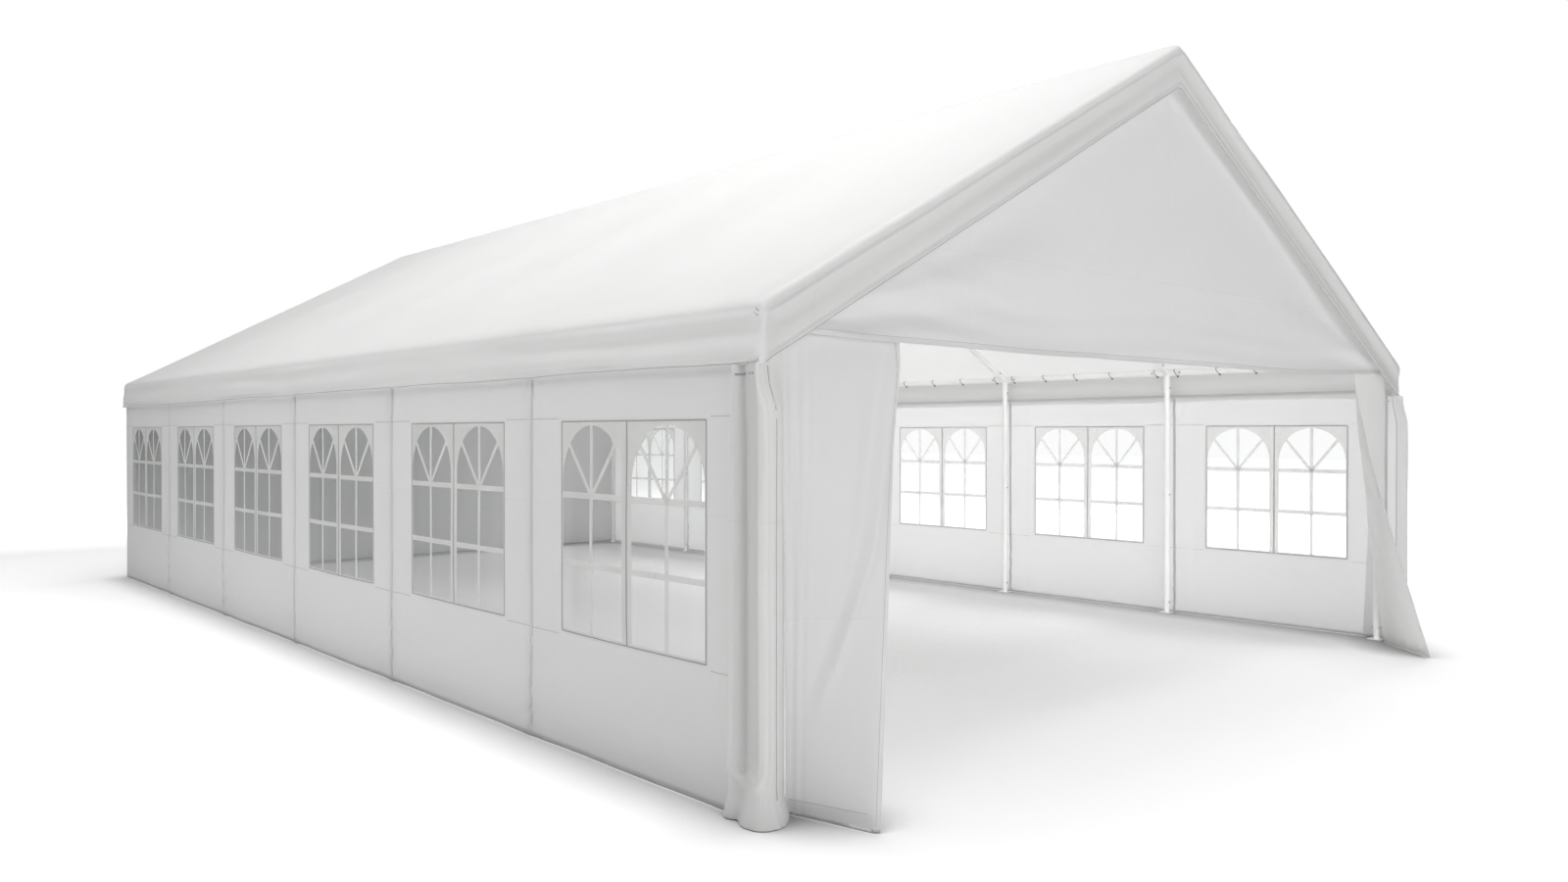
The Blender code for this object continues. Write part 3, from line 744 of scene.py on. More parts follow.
def drape_roof(section, columns):
    """Points of the cover: the section carried along the tent, with its waves and hanging ends."""
    x, z, nx, nz, h, out = (section[:, k][:, None] for k in range(6))
    y, drop, end, g, out_end = (columns[:, k][None, :] for k in range(5))
    right, below, hanging = x > 0, h > 0, g > 0
    on_fold = 1 - np.abs(nz - math.cos(PITCH)) / math.cos(PITCH)
    edge = np.where(right, eave_line(y, 1), eave_line(y, 2))
    level = roof_offset(x, y) * np.clip(on_fold, 0, 1) ** 2
    level = level + edge * (1 - smooth(COVER_HALF - np.abs(x), 0.02, 0.25))
    waves = np.where(right, valance_offset(y, h, 1), valance_offset(y, h, 2))
    waves = np.where(below, waves + out, 0.0) * smooth(h, 0.0, 0.25) + np.where(below, edge, 0.0)
    fade = smooth(y, ROOF_FRONT, ROOF_FRONT + 0.05) * (1 - smooth(y, ROOF_BACK - 0.05, ROOF_BACK))
    amount = np.where(below, waves * (0.35 + 0.65 * fade), level)
    fade_side = smooth(COVER_HALF - np.abs(x), 0.0, 0.06)
    forward = np.where(end < 0, rake_offset(x, g, 1), rake_offset(x, g, 2)) + out_end
    forward = forward * (0.30 + 0.70 * fade_side) * smooth(g, 0.0, 0.2)
    sag = 0.006 * noise(y * 1.9, 1.5, 71) + 0.004 * noise(y * 0.6, 4.5, 73)
    px = x + nx * amount
    py = y + end * np.where(hanging, forward, 0.0)
    pz = z + np.where(below, sag * h * fade, nz * amount - drop)
    pz = pz + np.where(hanging, 0.006 * noise(x * 1.5, 2.5, 75) * g * fade_side, 0.0)
    return np.stack(np.broadcast_arrays(px, py, pz), -1)


def join_corners(points, skirts, arm):
    """Join eave and rake valances at the four corners, and tell which cells beyond them stay open."""
    rows, cols = points.shape[:2]
    for i0, di in ((skirts, -1), (rows - 1 - skirts, 1)):
        for j0, dj in ((arm, -1), (cols - 1 - arm, 1)):
            for k in range(1, arm + 1):
                a, b = (i0 + di * k, j0), (i0, j0 + dj * k)
                points[a] = points[b] = (points[a] + points[b]) / 2
    beyond_row, beyond_col = np.ones(rows - 1, bool), np.ones(cols - 1, bool)
    beyond_row[skirts:rows - 1 - skirts] = False
    beyond_col[arm:cols - 1 - arm] = False
    return beyond_row[:, None] & beyond_col[None, :]


def stitch_roof(points):
    """Hem stitching along the four edges of the cover, in dark thread that also paints the shade line along
    the hems, and the lacing at its front corners.
    """
    surface = on_grid(points)
    uv = grid_uv(points)
    run, girth = uv[0, -1, 0], uv[-1, 0, 1]
    edge = HEM + 0.006
    eave, arm = VALANCE + HEM + 0.02, RAKE_VALANCE + HEM + 0.02
    thread = Shape()
    for q in (edge, girth - edge):
        ribbon(thread, "roof hem", [(arm, q), (run - arm, q)], surface)
    for p in (edge, run - edge):
        ribbon(thread, "roof hem", [(p, eave), (p, girth - eave)], surface)
    for fold in (girth - VALANCE - HEM, VALANCE + HEM):
        down = 1 if fold > girth / 2 else -1
        for k in range(2):
            start = fold + down * (0.026 + 0.020 * k)
            lace = [(arm + 0.005, start), (arm + 0.028, start - down * 0.014)]
            ribbon(thread, "corner lacing", lace, surface)
    thread.piece("roof_stitching_and_hem_shade", THREAD, "elastic_cord", sharp=50)


def make_roof():
    section, skirts = roof_section()
    columns, arm = roof_columns()
    points = drape_roof(section, columns)
    holes = join_corners(points, skirts, arm)
    down, run = run_of(points[:, len(columns) // 2]), run_of(points[len(section) // 2])
    uv = np.stack(np.broadcast_arrays(down[:, None], run[None, :]), -1)
    cover = grid_piece("roof_tarpaulin", points, uv, ROOF, "roof_tarpaulin", holes=holes, flip=True,
                       weld=0.00005)
    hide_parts("roof_cover")
    stitch_roof(points)


# Side walls and their windows

def pane_mask(y, z):
    """1 inside a window pane, falling to 0 a little way outside it."""
    in_bay = np.mod(np.asarray(y, float) - FRONT, BAY)
    return inside(in_bay, PANE[0], PANE[1], 0.10) * inside(z, PANE[2], PANE[3], 0.10)


def wall_offset(y, z, side):
    """How far a side wall stands out of its plane."""
    y, z = np.asarray(y, float), np.asarray(z, float)
    seam = np.mod(y - FRONT + BAY / 2, BAY) - BAY / 2
    free = smooth(z, 0.0, 0.12) * (1 - smooth(z, 1.55, 1.74))
    offset = 0.010 * between_frames(y) * free
    slack = 1 - 0.85 * pane_mask(y, z)
    low = (1 - smooth(z, 0.45, 0.75)) * smooth(z, 0.0, 0.1)
    offset += 0.0060 * low * slack * rough(y * 1.5 + z * 1.3, z * 2.6 - y * 0.7, 81 + side)
    offset += 0.0040 * slack * free * crease(y * 1.9 - z * 1.1, z * 1.6 + y * 0.5, 83 + side)
    pucker = bell(seam, 0, 0.08) * (1 - smooth(z, 0.40, 0.62)) * smooth(z, 0.0, 0.06)
    waves = np.sin(z * 48 + 2.6 * noise(y * 9, z * 4, 85) + 1.2 * np.sign(seam))
    offset += 0.0065 * pucker * (1 + waves * (0.6 + 0.4 * noise(z * 3, y * 0.7, 86)))
    high = smooth(z, 1.58, 1.64) * (1 - smooth(z, 1.70, 1.765))
    offset += 0.0040 * high * (0.5 + noise(y * 3.1, z * 3, 87 + side))
    offset += 0.0050 * high * bell(seam, 0, 0.12) * np.sin(seam * 60 + z * 14)
    offset += 0.0030 * bell(seam, 0, 0.05) * free * slack
    hem = 1 - smooth(z, 0.0, 0.10)
    offset += hem * (0.006 + 0.006 * noise(y * 2.2, 1.1, 89 + side))
    return offset * smooth(np.minimum(y - FRONT, BACK - y), -0.001, 0.10)


def wall_point(side):
    """Surface of a side wall: its point at y and z, and a lift off it."""
    sign = SIDES[side]

    def place(y, z, lift=0.0):
        x = sign * (WALL_X + wall_offset(y, z, sign + 1) + lift)
        return np.stack(np.broadcast_arrays(x, y, z), -1)
    return place


def film_point(side):
    """The film hangs from the wall around each pane, with slow ripples of its own."""
    sign = SIDES[side]

    def place(y, z, lift=0.0):
        in_bay = np.mod(np.asarray(y, float) - FRONT, BAY)
        hold = smooth(np.minimum(in_bay - PANE[0], PANE[1] - in_bay), 0, 0.12)
        hold = hold * smooth(np.minimum(z - PANE[2], PANE[3] - z), 0, 0.12)
        ripple = 0.0035 * noise(y * 2.6, z * 1.2, 91 + sign) + 0.0015 * noise(y * 6, z * 2.5, 93 + sign)
        x = sign * (WALL_X + wall_offset(y, z, sign + 1) + hold * ripple - 0.0008 + lift)
        return np.stack(np.broadcast_arrays(x, y, z), -1)
    return place


def lines(*stops, step):
    """Grid lines through every stop, evenly spaced between neighbours."""
    values = [stops[0]]
    for a, b in zip(stops, stops[1:]):
        count = max(1, round((b - a) / step))
        values += [a + (b - a) * k / count for k in range(1, count + 1)]
    return np.array(values)


def make_wall(side, part, first, bays):
    """One length of side wall with its window openings, its hem and its folded top."""
    end = SEAMS[first + bays]
    stops = [SEAMS[first] + (GAP if first else 0)]
    for seam in SEAMS[first:first + bays]:
        stops += [seam + PANE[0], seam + PANE[1], min(seam + BAY, end)]
    ys = lines(*stops, step=WALL_STEP)
    zs = lines(HEM_LIFT, 0.03, 0.12, PANE[2], PANE[3], WALL_TOP - 0.02, WALL_TOP, step=WALL_STEP)
    wall = wall_point(side)
    foot = [wall(ys, z, lift) for z, lift in ((0.024, -0.0014), (0.0045, -0.0016))]
    head = [wall(ys, z, -0.0014) for z in (WALL_TOP - 0.001, WALL_TOP - 0.022)]
    points = np.concatenate([np.array(foot), wall(ys[None, :], zs[:, None]), np.array(head)])
    zmid, ymid = (zs[:-1] + zs[1:]) / 2, (ys[:-1] + ys[1:]) / 2
    in_bay = np.mod(ymid - FRONT, BAY)
    open_cols = (in_bay > PANE[0]) & (in_bay < PANE[1])
    open_rows = (zmid > PANE[2]) & (zmid < PANE[3])
    holes = np.pad(open_rows, 2)[:, None] & open_cols[None, :]
    v = np.concatenate([[-0.045, -0.022], zs - HEM_LIFT, [WALL_TOP + 0.001, WALL_TOP + 0.022]])
    piece = grid_piece(f"wall_cloth_{side}_{part}", points, plane_grid(ys, v), WALL, "wall_tarpaulin",
                       holes=holes, flip=side == "right")
    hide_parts(f"{side}_wall_{part}")


def make_window_films(side):
    """One sheet of film behind each pane, a little larger than it."""
    film = film_point(side)
    shape = Shape()
    for seam in SEAMS[:-1]:
        ys = lines(seam + PANE[0] - FILM_LAP, seam + PANE[1] + FILM_LAP, step=FILM_STEP)
        zs = lines(PANE[2] - FILM_LAP, PANE[3] + FILM_LAP, step=FILM_STEP)
        points = film(ys[None, :], zs[:, None], -0.0004)
        quads = grid_faces(points.shape)[0].reshape(-1, 4)
        shape.add(points, quads if side == "left" else quads[:, ::-1], plane_grid(ys, zs))
    piece = shape.piece(f"window_film_{side}", FILM_LOOK, "clear_film")
    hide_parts(f"{side}_window_film")


def light_spans(seam):
    """Start and end along the wall of the two lights of a pane."""
    start, end = seam + PANE[0], seam + PANE[1]
    middle = seam + (PANE[0] + PANE[1]) / 2
    return (start + LIGHT_EDGE, middle - MULLION / 2), (middle + MULLION / 2, end - LIGHT_EDGE)


def curve(ys, zs):
    """Points of a line on a wall, where either coordinate may be one number."""
    return np.stack(np.broadcast_arrays(ys, zs), -1)


def make_window_print(side):
    """White frame around the lights and the bars in them, printed on the film."""
    surface = film_point(side)
    shape = Shape()
    bottom, top = PANE[2], PANE[3]
    sill = bottom + 0.012
    zs, angles = np.linspace(bottom, top, 22), np.linspace(math.pi, 0, 29)
    for seam in SEAMS[:-1]:
        spans = light_spans(seam)
        strips = (seam + PANE[0], spans[0][0]), (spans[0][1], spans[1][0]), (spans[1][1], seam + PANE[1])
        for a, b in strips:
            slab(shape, curve(a, zs), curve(b, zs), surface, layers=1)
        for a, b in spans:
            radius, middle = (b - a) / 2, (a + b) / 2
            arc = curve(middle + radius * np.cos(angles), SPRING + radius * np.sin(angles))
            slab(shape, arc, curve(arc[:, 0], top), surface)
            ys = np.linspace(a, b, 14)
            slab(shape, curve(ys, bottom), curve(ys, sill), surface, layers=1)
            for z in BARS:
                ribbon(shape, "bar", [(a, z), (b, z)], surface)
            ribbon(shape, "upright bar", [(middle, sill), (middle, SPRING + radius)], surface)
            for sign in (-1, 1):
                tip = (middle + sign * FAN_REACH[0], BARS[0] + FAN_REACH[1])
                ribbon(shape, "fan bar", [(middle, BARS[0]), tip], surface)
    shape.piece(f"window_print_{side}", PRINT, "printed_bars", sharp=40)


def make_wall_seams(side):
    """Tape and stitching over the seams between bays, rows of stitching between panes, and their dark
    piping, partly painted shade along the panes' edges.
    """
    surface, film = wall_point(side), film_point(side)
    tape, thread, pale = Shape(), Shape(), Shape()
    top = WALL_TOP - 0.03
    for seam in SEAMS:
        y = min(max(seam, FRONT + 0.016), BACK - 0.016)
        ribbon(tape, "wall tape", [(y, 0.012), (y, top)], surface, step=0.025)
        for x in (y - 0.0115, y + 0.0115):
            if FRONT < x < BACK:
                ribbon(pale, "wall seam", [(x, 0.02), (x, top)], surface, step=0.025)
    for z in (PANE[2] - 0.020, PANE[3] + 0.014):
        for seam in SEAMS:
            a = max(FRONT + 0.04, seam + PANE[1] - BAY + 0.03)
            b = min(BACK - 0.04, seam + PANE[0] - 0.03)
            ribbon(pale, "window seam", [(a, z), (b, z)], surface, step=0.03)
    # The dark piping round each pane is binding, and also painted shade along the pane's edge.
    for seam in SEAMS[:-1]:
        y0, y1, z0, z1 = seam + PANE[0], seam + PANE[1], PANE[2], PANE[3]
        for edge in (((y0, z0), (y0, z1)), ((y1, z0), (y1, z1)), ((y0, z0), (y1, z0)), ((y0, z1), (y1, z1))):
            ribbon(thread, "piping", edge, surface, step=0.03)
        middle = (y0 + y1) / 2
        ribbon(thread, "mullion piping", [(middle, z0), (middle, z1)], film, step=0.03)
    tape.piece(f"wall_tapes_{side}", TAPE, "wall_tarpaulin", sharp=50)
    thread.piece(f"window_piping_and_edge_shade_{side}", THREAD, "elastic_cord", sharp=50)
    pale.piece(f"wall_stitching_{side}", PALE_THREAD, "wall_tarpaulin", sharp=50)


# End walls

def roof_line(x, drop=0.0):
    """Height of the roof's true plane over an end wall."""
    return RIDGE - SLOPE * np.abs(x) - drop


def gable_hem(x, end):
    """Height of a gable's lower edge, which hangs a little higher at the front corners."""
    if end == "back":
        return GABLE_BOTTOM + 0 * np.asarray(x, float)
    left, right = smooth(-x, 1.8, 2.95), smooth(x, 1.6, 2.95)
    return GABLE_BOTTOM + 0.022 * left + 0.040 * right + 0.006 * noise(x * 1.6, 0.3, 101)


def gable_offset(x, z, end):
    """Outward waves of a gable: folds fan out of its lower corners and run along its hem."""
    x, z = np.asarray(x, float), np.asarray(z, float)
    seed = 103 if end == "front" else 113
    offset = 0.0060 * rough(x * 1.1, z * 1.4, seed)
    offset = offset + 0.0045 * crease(x * 0.8 + z * 0.9, z * 2.1 - x * 0.4, seed + 2)
    for sign, strength in ((-1, 1.0), (1, 0.5)):
        dx, dz = HALF - sign * x, z - 1.93
        away = np.hypot(dx, dz)
        angle = np.arctan2(dz, dx)
        fan = np.sin(angle * 23 + 3.2 + 0.8 * noise(away * 1.3, 2.0, seed + 4 + sign))
        fan = fan * smooth(away, 0.05, 0.5) * np.exp(-away / 2.0) * bell(angle, 0.06, 0.34)
        offset = offset + strength * 0.034 * fan
    rise = z - gable_hem(x, end)
    waves = np.sin(2 * math.pi * (rise / 0.125 + 0.16 * x + 0.5 * noise(x * 0.8, 7.0, seed + 6)))
    offset = offset + 0.0110 * waves * np.exp(-rise / 0.20) * (0.75 + 0.45 * noise(x * 0.5, 3.0, seed + 7))
    drape = 1 - smooth(z, GABLE_BOTTOM, GABLE_BOTTOM + 0.35)
    offset = offset + drape * (0.006 + 0.006 * noise(x * 2.1, z * 2.5, seed + 9))
    inner = np.minimum(HALF - np.abs(x), roof_line(x) - z)
    return (offset + 0.004) * smooth(inner, 0.0, 0.10) - 0.0015 * (1 - smooth(inner, 0.0, 0.10))


def end_point(end, offset):
    """Surface of an end wall or gable, from how far it stands out of its plane."""
    sign, plane = (-1, FRONT) if end == "front" else (1, BACK)

    def place(x, z, lift=0.0):
        y = plane + sign * (offset(x, z, end) + lift - FABRIC / 2)
        return np.stack(np.broadcast_arrays(x, y, z), -1)
    return place


def make_gable(end):
    """Gable triangle with its turned hem and the stitching along it."""
    surface = end_point(end, gable_offset)
    reach = HALF - FABRIC
    xs = np.linspace(-reach, reach, GABLE_GRID[0])
    rises = np.linspace(0, 1, GABLE_GRID[1])[:, None] ** 1.15
    low = gable_hem(xs, end)
    high = roof_line(xs, FABRIC / math.cos(PITCH) + 0.004)
    zs = low + (high - low) * rises
    hem = [surface(xs, low + rise, -step) for rise, step in ((HEM, 0.0016), (0.001, 0.0018))]
    points = np.concatenate([np.array(hem), surface(np.broadcast_to(xs, zs.shape), zs)])
    v = np.concatenate([[low - 0.047, low - HEM], zs])
    uv = np.stack(np.broadcast_arrays(xs[None, :], v), -1)
    piece = grid_piece(f"gable_cloth_{end}", points, uv, WALL, "wall_tarpaulin", flip=end == "back")
    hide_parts(f"gable_{end}")
    stitch = Shape()
    xs = np.linspace(-reach + 0.01, reach - 0.01, 160)
    ribbon(stitch, "gable hem", curve(xs, gable_hem(xs, end) + 0.025), surface)
    stitch.piece(f"gable_stitching_{end}", PALE_THREAD, "wall_tarpaulin", sharp=50)


def back_offset(x, z, end):
    """Outward waves of the back wall."""
    x, z = np.asarray(x, float), np.asarray(z, float)
    free = smooth(z, 0.0, 0.15) * (1 - smooth(z, 1.60, 1.86))
    offset = 0.008 * free * (1 + rough(x * 0.9, z * 1.2, 121))
    offset = offset + 0.005 * free * crease(x * 1.4 + z * 0.8, z * 1.5 - x * 0.4, 123)
    hem = 1 - smooth(z, 0.0, 0.12)
    offset = offset + hem * (0.006 + 0.006 * noise(x * 2.0, 1.0, 127))
    return offset * smooth(HALF - np.abs(x), 0.0, 0.12)


def make_back_wall():
    """Closed back wall with its hem, seam tapes and stitching."""
    surface = end_point("back", back_offset)
    reach = HALF - FABRIC - GAP
    xs = np.linspace(-reach, reach, BACK_ACROSS)
    zs = lines(HEM_LIFT, 0.03, GABLE_BOTTOM - GAP, step=0.03)
    hem = surface(xs, 0.026, -0.0016)
    points = np.concatenate([hem[None], surface(xs[None, :], zs[:, None])])
    v = np.concatenate([[-HEM], zs])
    piece = grid_piece("back_wall_cloth", points, plane_grid(xs, v), WALL, "wall_tarpaulin", flip=True)
    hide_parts("back_wall")
    tape, thread = Shape(), Shape()
    top = GABLE_BOTTOM - 0.012
    for x in (-1.98, -0.99, 0.0, 0.99, 1.98):
        ribbon(tape, "back tape", [(x, 0.012), (x, top)], surface)
        for beside in (x - 0.0165, x + 0.0165):
            ribbon(thread, "back seam", [(beside, 0.02), (beside, top)], surface)
    for z in (0.54, 1.566):
        ribbon(thread, "back row", [(-reach + 0.03, z), (reach - 0.03, z)], surface)
    tape.piece("back_wall_tapes", TAPE, "wall_tarpaulin", sharp=50)
    thread.piece("back_wall_stitching", PALE_THREAD, "wall_tarpaulin", sharp=50)


# Door flaps and corner wraps

def pushed(rows, amount):
    """Move each point of a grid level and square to its row."""
    run = np.gradient(rows, axis=1)
    side = np.stack([-run[..., 1], run[..., 0], np.zeros(run.shape[:2])], -1)
    side /= np.linalg.norm(side, axis=-1)[..., None]
    return rows + side * amount[..., None]


def grid_uv(points):
    """Metre coordinates measured along the middle row and the middle column."""
    return plane_grid(run_of(points[len(points) // 2]), run_of(points[:, points.shape[1] // 2]))


def on_grid(points):
    """Surface through a grid of points, in the metre coordinates that grid_uv gives it."""
    uv = grid_uv(points)
    across, down = uv[0, :, 0], uv[:, 0, 1]
    normals = np.cross(np.gradient(points, axis=1), np.gradient(points, axis=0))
    normals /= np.linalg.norm(normals, axis=-1)[..., None]

    def place(p, q, lift=0.0):
        col = np.clip(np.interp(p, across, np.arange(len(across))), 0, len(across) - 1.0001)
        row = np.clip(np.interp(q, down, np.arange(len(down))), 0, len(down) - 1.0001)
        i, j = row.astype(int), col.astype(int)
        fi, fj = (row - i)[..., None], (col - j)[..., None]
        spot, normal = (field[i, j] * (1 - fi) * (1 - fj) + field[i + 1, j] * fi * (1 - fj)
                        + field[i, j + 1] * (1 - fi) * fj + field[i + 1, j + 1] * fi * fj
                        for field in (points, normals))
        return spot + normal * lift
    return place


def shares(grid):
    """From 0 to 1 across and down a sheet."""
    return np.linspace(0, 1, grid[0])[None, :], np.linspace(0, 1, grid[1])[:, None]


def with_hem(rows):
    """Add the turned-up hem behind the foot of a hanging flap, its last row."""
    back = np.array([0.0, 0.0018, 0.0])
    foot = np.argmin(np.abs(rows[:, 0, 2] - rows[-1, 0, 2] - FLAP_HEM))
    turned = [rows[-1] + back * 0.6, rows[foot] + back]
    turned[0][:, 2] += 0.001
    return np.concatenate([rows, np.array(turned)])


def hang_flap(rows, side, look, flat, **size):
    """Door flap from its rows of points, with stitching along its foot and its free edge."""
    whole = with_hem(rows)
    piece = grid_piece(f"door_flap_{side}", whole, grid_uv(whole), look, "wall_tarpaulin",
                       flip=side == "right")
    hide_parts(f"front_flap_{side}")
    surface = on_grid(rows)
    width, height = grid_uv(rows)[-1, -1]
    thread = Shape()
    for line in (((0.012, height - 0.058), (width - 0.012, height - 0.058)),
                 ((width - 0.020, 0.02), (width - 0.020, height - 0.02))):
        ribbon(thread, "door hem", line, surface, turned=side == "left")
    thread.piece(f"door_stitching_{side}", PALE_THREAD, "wall_tarpaulin", sharp=50)


def make_left_flap():
    """Flap whose free edge swings forward, with a long fold down from its outer top corner."""
    u, v = shares(LEFT_FLAP_GRID)
    across, down = u[..., None], v[..., None]
    post = between(np.array([0.15 - HALF, FRONT]), np.array([0.16 - HALF, FRONT - 0.02]), down)
    edge = between(np.array([0.83 - HALF, FRONT]), np.array([0.26 - HALF, FRONT - 0.43]), down)
    flat = between(post, edge, across)
    z = np.broadcast_to(between(GABLE_BOTTOM + 0.026, HEM_LIFT, v), flat.shape[:2])
    rows = np.concatenate([flat, z[..., None]], -1)
    loose = smooth(v, 0.0, 0.15)
    folds = np.sin(2 * math.pi * (u / 0.105 + 0.25 * noise(v * 2, 0.5, 131)))
    d = 0.0045 * loose * folds * (1 - smooth(u, 0.10, 0.30)) * (1 - 0.6 * smooth(v, 0.5, 0.8))
    line = 0.97 - 0.30 * v - 1.5 * np.clip(v - 0.43, 0, 1) ** 1.3
    held = smooth(v, 0.0, 0.08) * (1 - smooth(v, 0.60, 0.85))
    d = d + 0.019 * held * bell(u, line, 0.060)
    d = d - 0.013 * held * bell(u, line - 0.13, 0.08)
    d = d + 0.005 * loose * rough(u * 1.3 + v * 1.2, v * 2.2 - u, 133)
    d = d + 0.003 * loose * crease(u * 2.0 - v * 2.5, v * 2.0 + u * 0.8, 137)
    d = d - 0.012 * smooth(u, 0.93, 1.0) * smooth(v, 0.02, 0.3)
    hang_flap(pushed(rows, -d), "left", WALL, (0.68, 1.95), area=1.07)


def make_right_flap():
    """Flap that is folded forward along a slanting line from its inner top corner to its outer foot."""
    u, v = shares(RIGHT_FLAP_GRID)
    width = between(*RIGHT_FLAP_WIDTH, v)
    fold = width * (1 - v) + RIGHT_FLAP_FOLD * v
    reach = width * u
    soft = 0.03
    past = soft * np.logaddexp(0, (reach - fold) / soft)
    x = HALF - RIGHT_FLAP_POST - (reach - past) - past * math.cos(RIGHT_FLAP_TURN)
    y = FRONT - past * math.sin(RIGHT_FLAP_TURN)
    z = np.broadcast_to(between(GABLE_BOTTOM + 0.042, HEM_LIFT, v), x.shape)
    loose = smooth(v, 0.0, 0.3)
    d = 0.008 * loose * rough(u * 2.0 + v, v * 3.0, 141)
    d = d + 0.010 * loose * np.sin(2 * math.pi * (1.6 * u - 0.8 * v)) * inside(u, 0.2, 0.9, 0.15)
    rows = pushed(np.stack([x, y, z], -1), -np.abs(d))
    hang_flap(rows, "right", LIT_FLAP_CLOTH, (0.66, 1.95))


WRAPS = {
    "left": [(0.0066, 0.09), (0.038, 0.075), (0.018, 0.04), (0.050, -0.045), (0.040, -0.105),
             (-0.02, -0.112), (-0.075, -0.085), (-0.135, -0.02), (-0.175, 0.012)],
    "right": [(0.0066, 0.14), (0.03, 0.08), (0.045, 0.0), (0.050, -0.10), (0.01, -0.11),
              (-0.02, -0.06)],
}


def curve_through(points, count):
    """Even samples of a smooth curve through points in the plane."""
    points = np.asarray(points, float)
    padded = np.concatenate([[2 * points[0] - points[1]], points, [2 * points[-1] - points[-2]]])
    dense = []
    for k in range(len(points) - 1):
        p0, p1, p2, p3 = padded[k:k + 4]
        for t in np.linspace(0, 1, 24, endpoint=False):
            dense.append(0.5 * (2 * p1 + (p2 - p0) * t + (2 * p0 - 5 * p1 + 4 * p2 - p3) * t ** 2
                                + (3 * p1 - p0 - 3 * p2 + p3) * t ** 3))
    dense = np.array(dense + [points[-1]])
    run = run_of(dense)
    even = np.linspace(0, run[-1], count)
    return np.stack([np.interp(even, run, dense[:, k]) for k in range(2)], -1)


def pouch(s, z):
    """Folds of a corner sleeve: two ridges run down and meet in a loop above the foot."""
    centre, wide, low, bend = 0.138, 0.104, 0.125, 0.11
    share = np.clip((low + bend - z) / bend, 0, 1)
    half = wide * np.sqrt(np.clip(1 - share ** 2, 0, 1))
    off = np.abs(s - centre + 0.006 * noise(z * 2.0, 0.5, 151))
    above = smooth(z, low - 0.03, low + 0.02)
    rim = bell(np.hypot(np.clip(off - half, 0, 1), np.clip(low - z, 0, 1)) - 0.004, 0, 0.016)
    rim = np.where(off < half, bell(np.minimum(half - off, np.clip(z - low, 0, 1)), 0, 0.018), rim)
    hollow = smooth(half - off, 0.0, 0.035) * above
    crescents = np.sin((z - 0.02) * 95 + (s - centre) ** 2 * 420) * bell(z, 0.175, 0.045)
    crescents = crescents * smooth(half - off, 0, 0.03)
    return 0.014 * rim * above - 0.012 * hollow + 0.0045 * crescents


def make_wrap(side):
    """Loose cloth around a front corner post, tucked under the rake valance and flared at its foot."""
    sign = SIDES[side]
    outline = curve_through(WRAPS[side], WRAP_GRID[0])
    run = run_of(outline)
    length, height = float(run[-1]), EAVE - VALANCE
    z = np.linspace(HEM_LIFT, height - GAP, WRAP_GRID[1])[:, None]
    s = run[None, :]
    x, y = sign * (HALF + outline[:, 0]), FRONT + outline[:, 1]
    rows = np.stack(np.broadcast_arrays(x, y, z), -1)
    held = 1 - 0.5 * smooth(z, 1.45, 1.74)
    wander = 0.008 * noise(z * 1.6, 0.5, 155)
    streaks = np.sin(2 * math.pi * (s + wander) / 0.034) * inside(s, 0.24, 0.33, 0.03)
    d = pouch(s, z) * held + 0.0022 * streaks * held
    d = d + 0.0035 * rough(s * 9, z * 2.2, 153) * held
    foot = 1 - smooth(z, 0.0, 0.12)
    d = d + 0.027 * foot + 0.003 * foot * np.sin(s * 46 + 1.0)
    keep = smooth(s, 0.0, 0.05) * (1 - smooth(s, length - 0.05, length))
    rows = pushed(rows, sign * d * keep)
    front_start = 0.235 if side == "left" else 0.26
    tucked = smooth(z, 1.56, 1.74) * smooth(s, front_start - 0.05, front_start + 0.03)
    rows[..., 1] += 0.055 * tucked * np.clip(-outline[:, 1] / 0.11, 0, 1)
    rows[..., 2] += 0.060 * smooth(z, 1.68, 1.765) * smooth(s, front_start, front_start + 0.05)
    rows[..., 1] += 0.035 * (1 - smooth(z, 0.0, 0.9)) * (1 - smooth(s, 0.0, 0.09))
    cloth = LIT_SLEEVE_CLOTH if side == "left" else WALL
    uv = grid_uv(rows)
    piece = grid_piece(f"corner_sleeve_{side}", rows, uv, cloth, "wall_tarpaulin", flip=sign < 0)
    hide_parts(f"corner_wrap_{side}")
    surface = on_grid(rows)
    # The dark edge line and the dashes under the valance are thread that also paints the shade in the gaps
    # there.
    edge = 0.362 if side == "left" else uv[0, -1, 0] - 0.006
    thread, dash = Shape(), height - 0.020
    ribbon(thread, "wrap edge", [(edge, 0.10), (edge, dash)], surface, turned=sign > 0)
    for a, b in ((0.07, 0.145), (0.19, 0.222)):
        ribbon(thread, "wrap lacing", [(a, dash), (b, dash)], surface, turned=sign > 0)
    thread.piece(f"sleeve_lacing_and_gap_shade_{side}", THREAD, "elastic_cord", sharp=50)


# Steel frame

def circle(x, y, radius, angles):
    """Points around a centre at the given angles."""
    return [(x + radius * math.cos(t), y + radius * math.sin(t)) for t in angles]


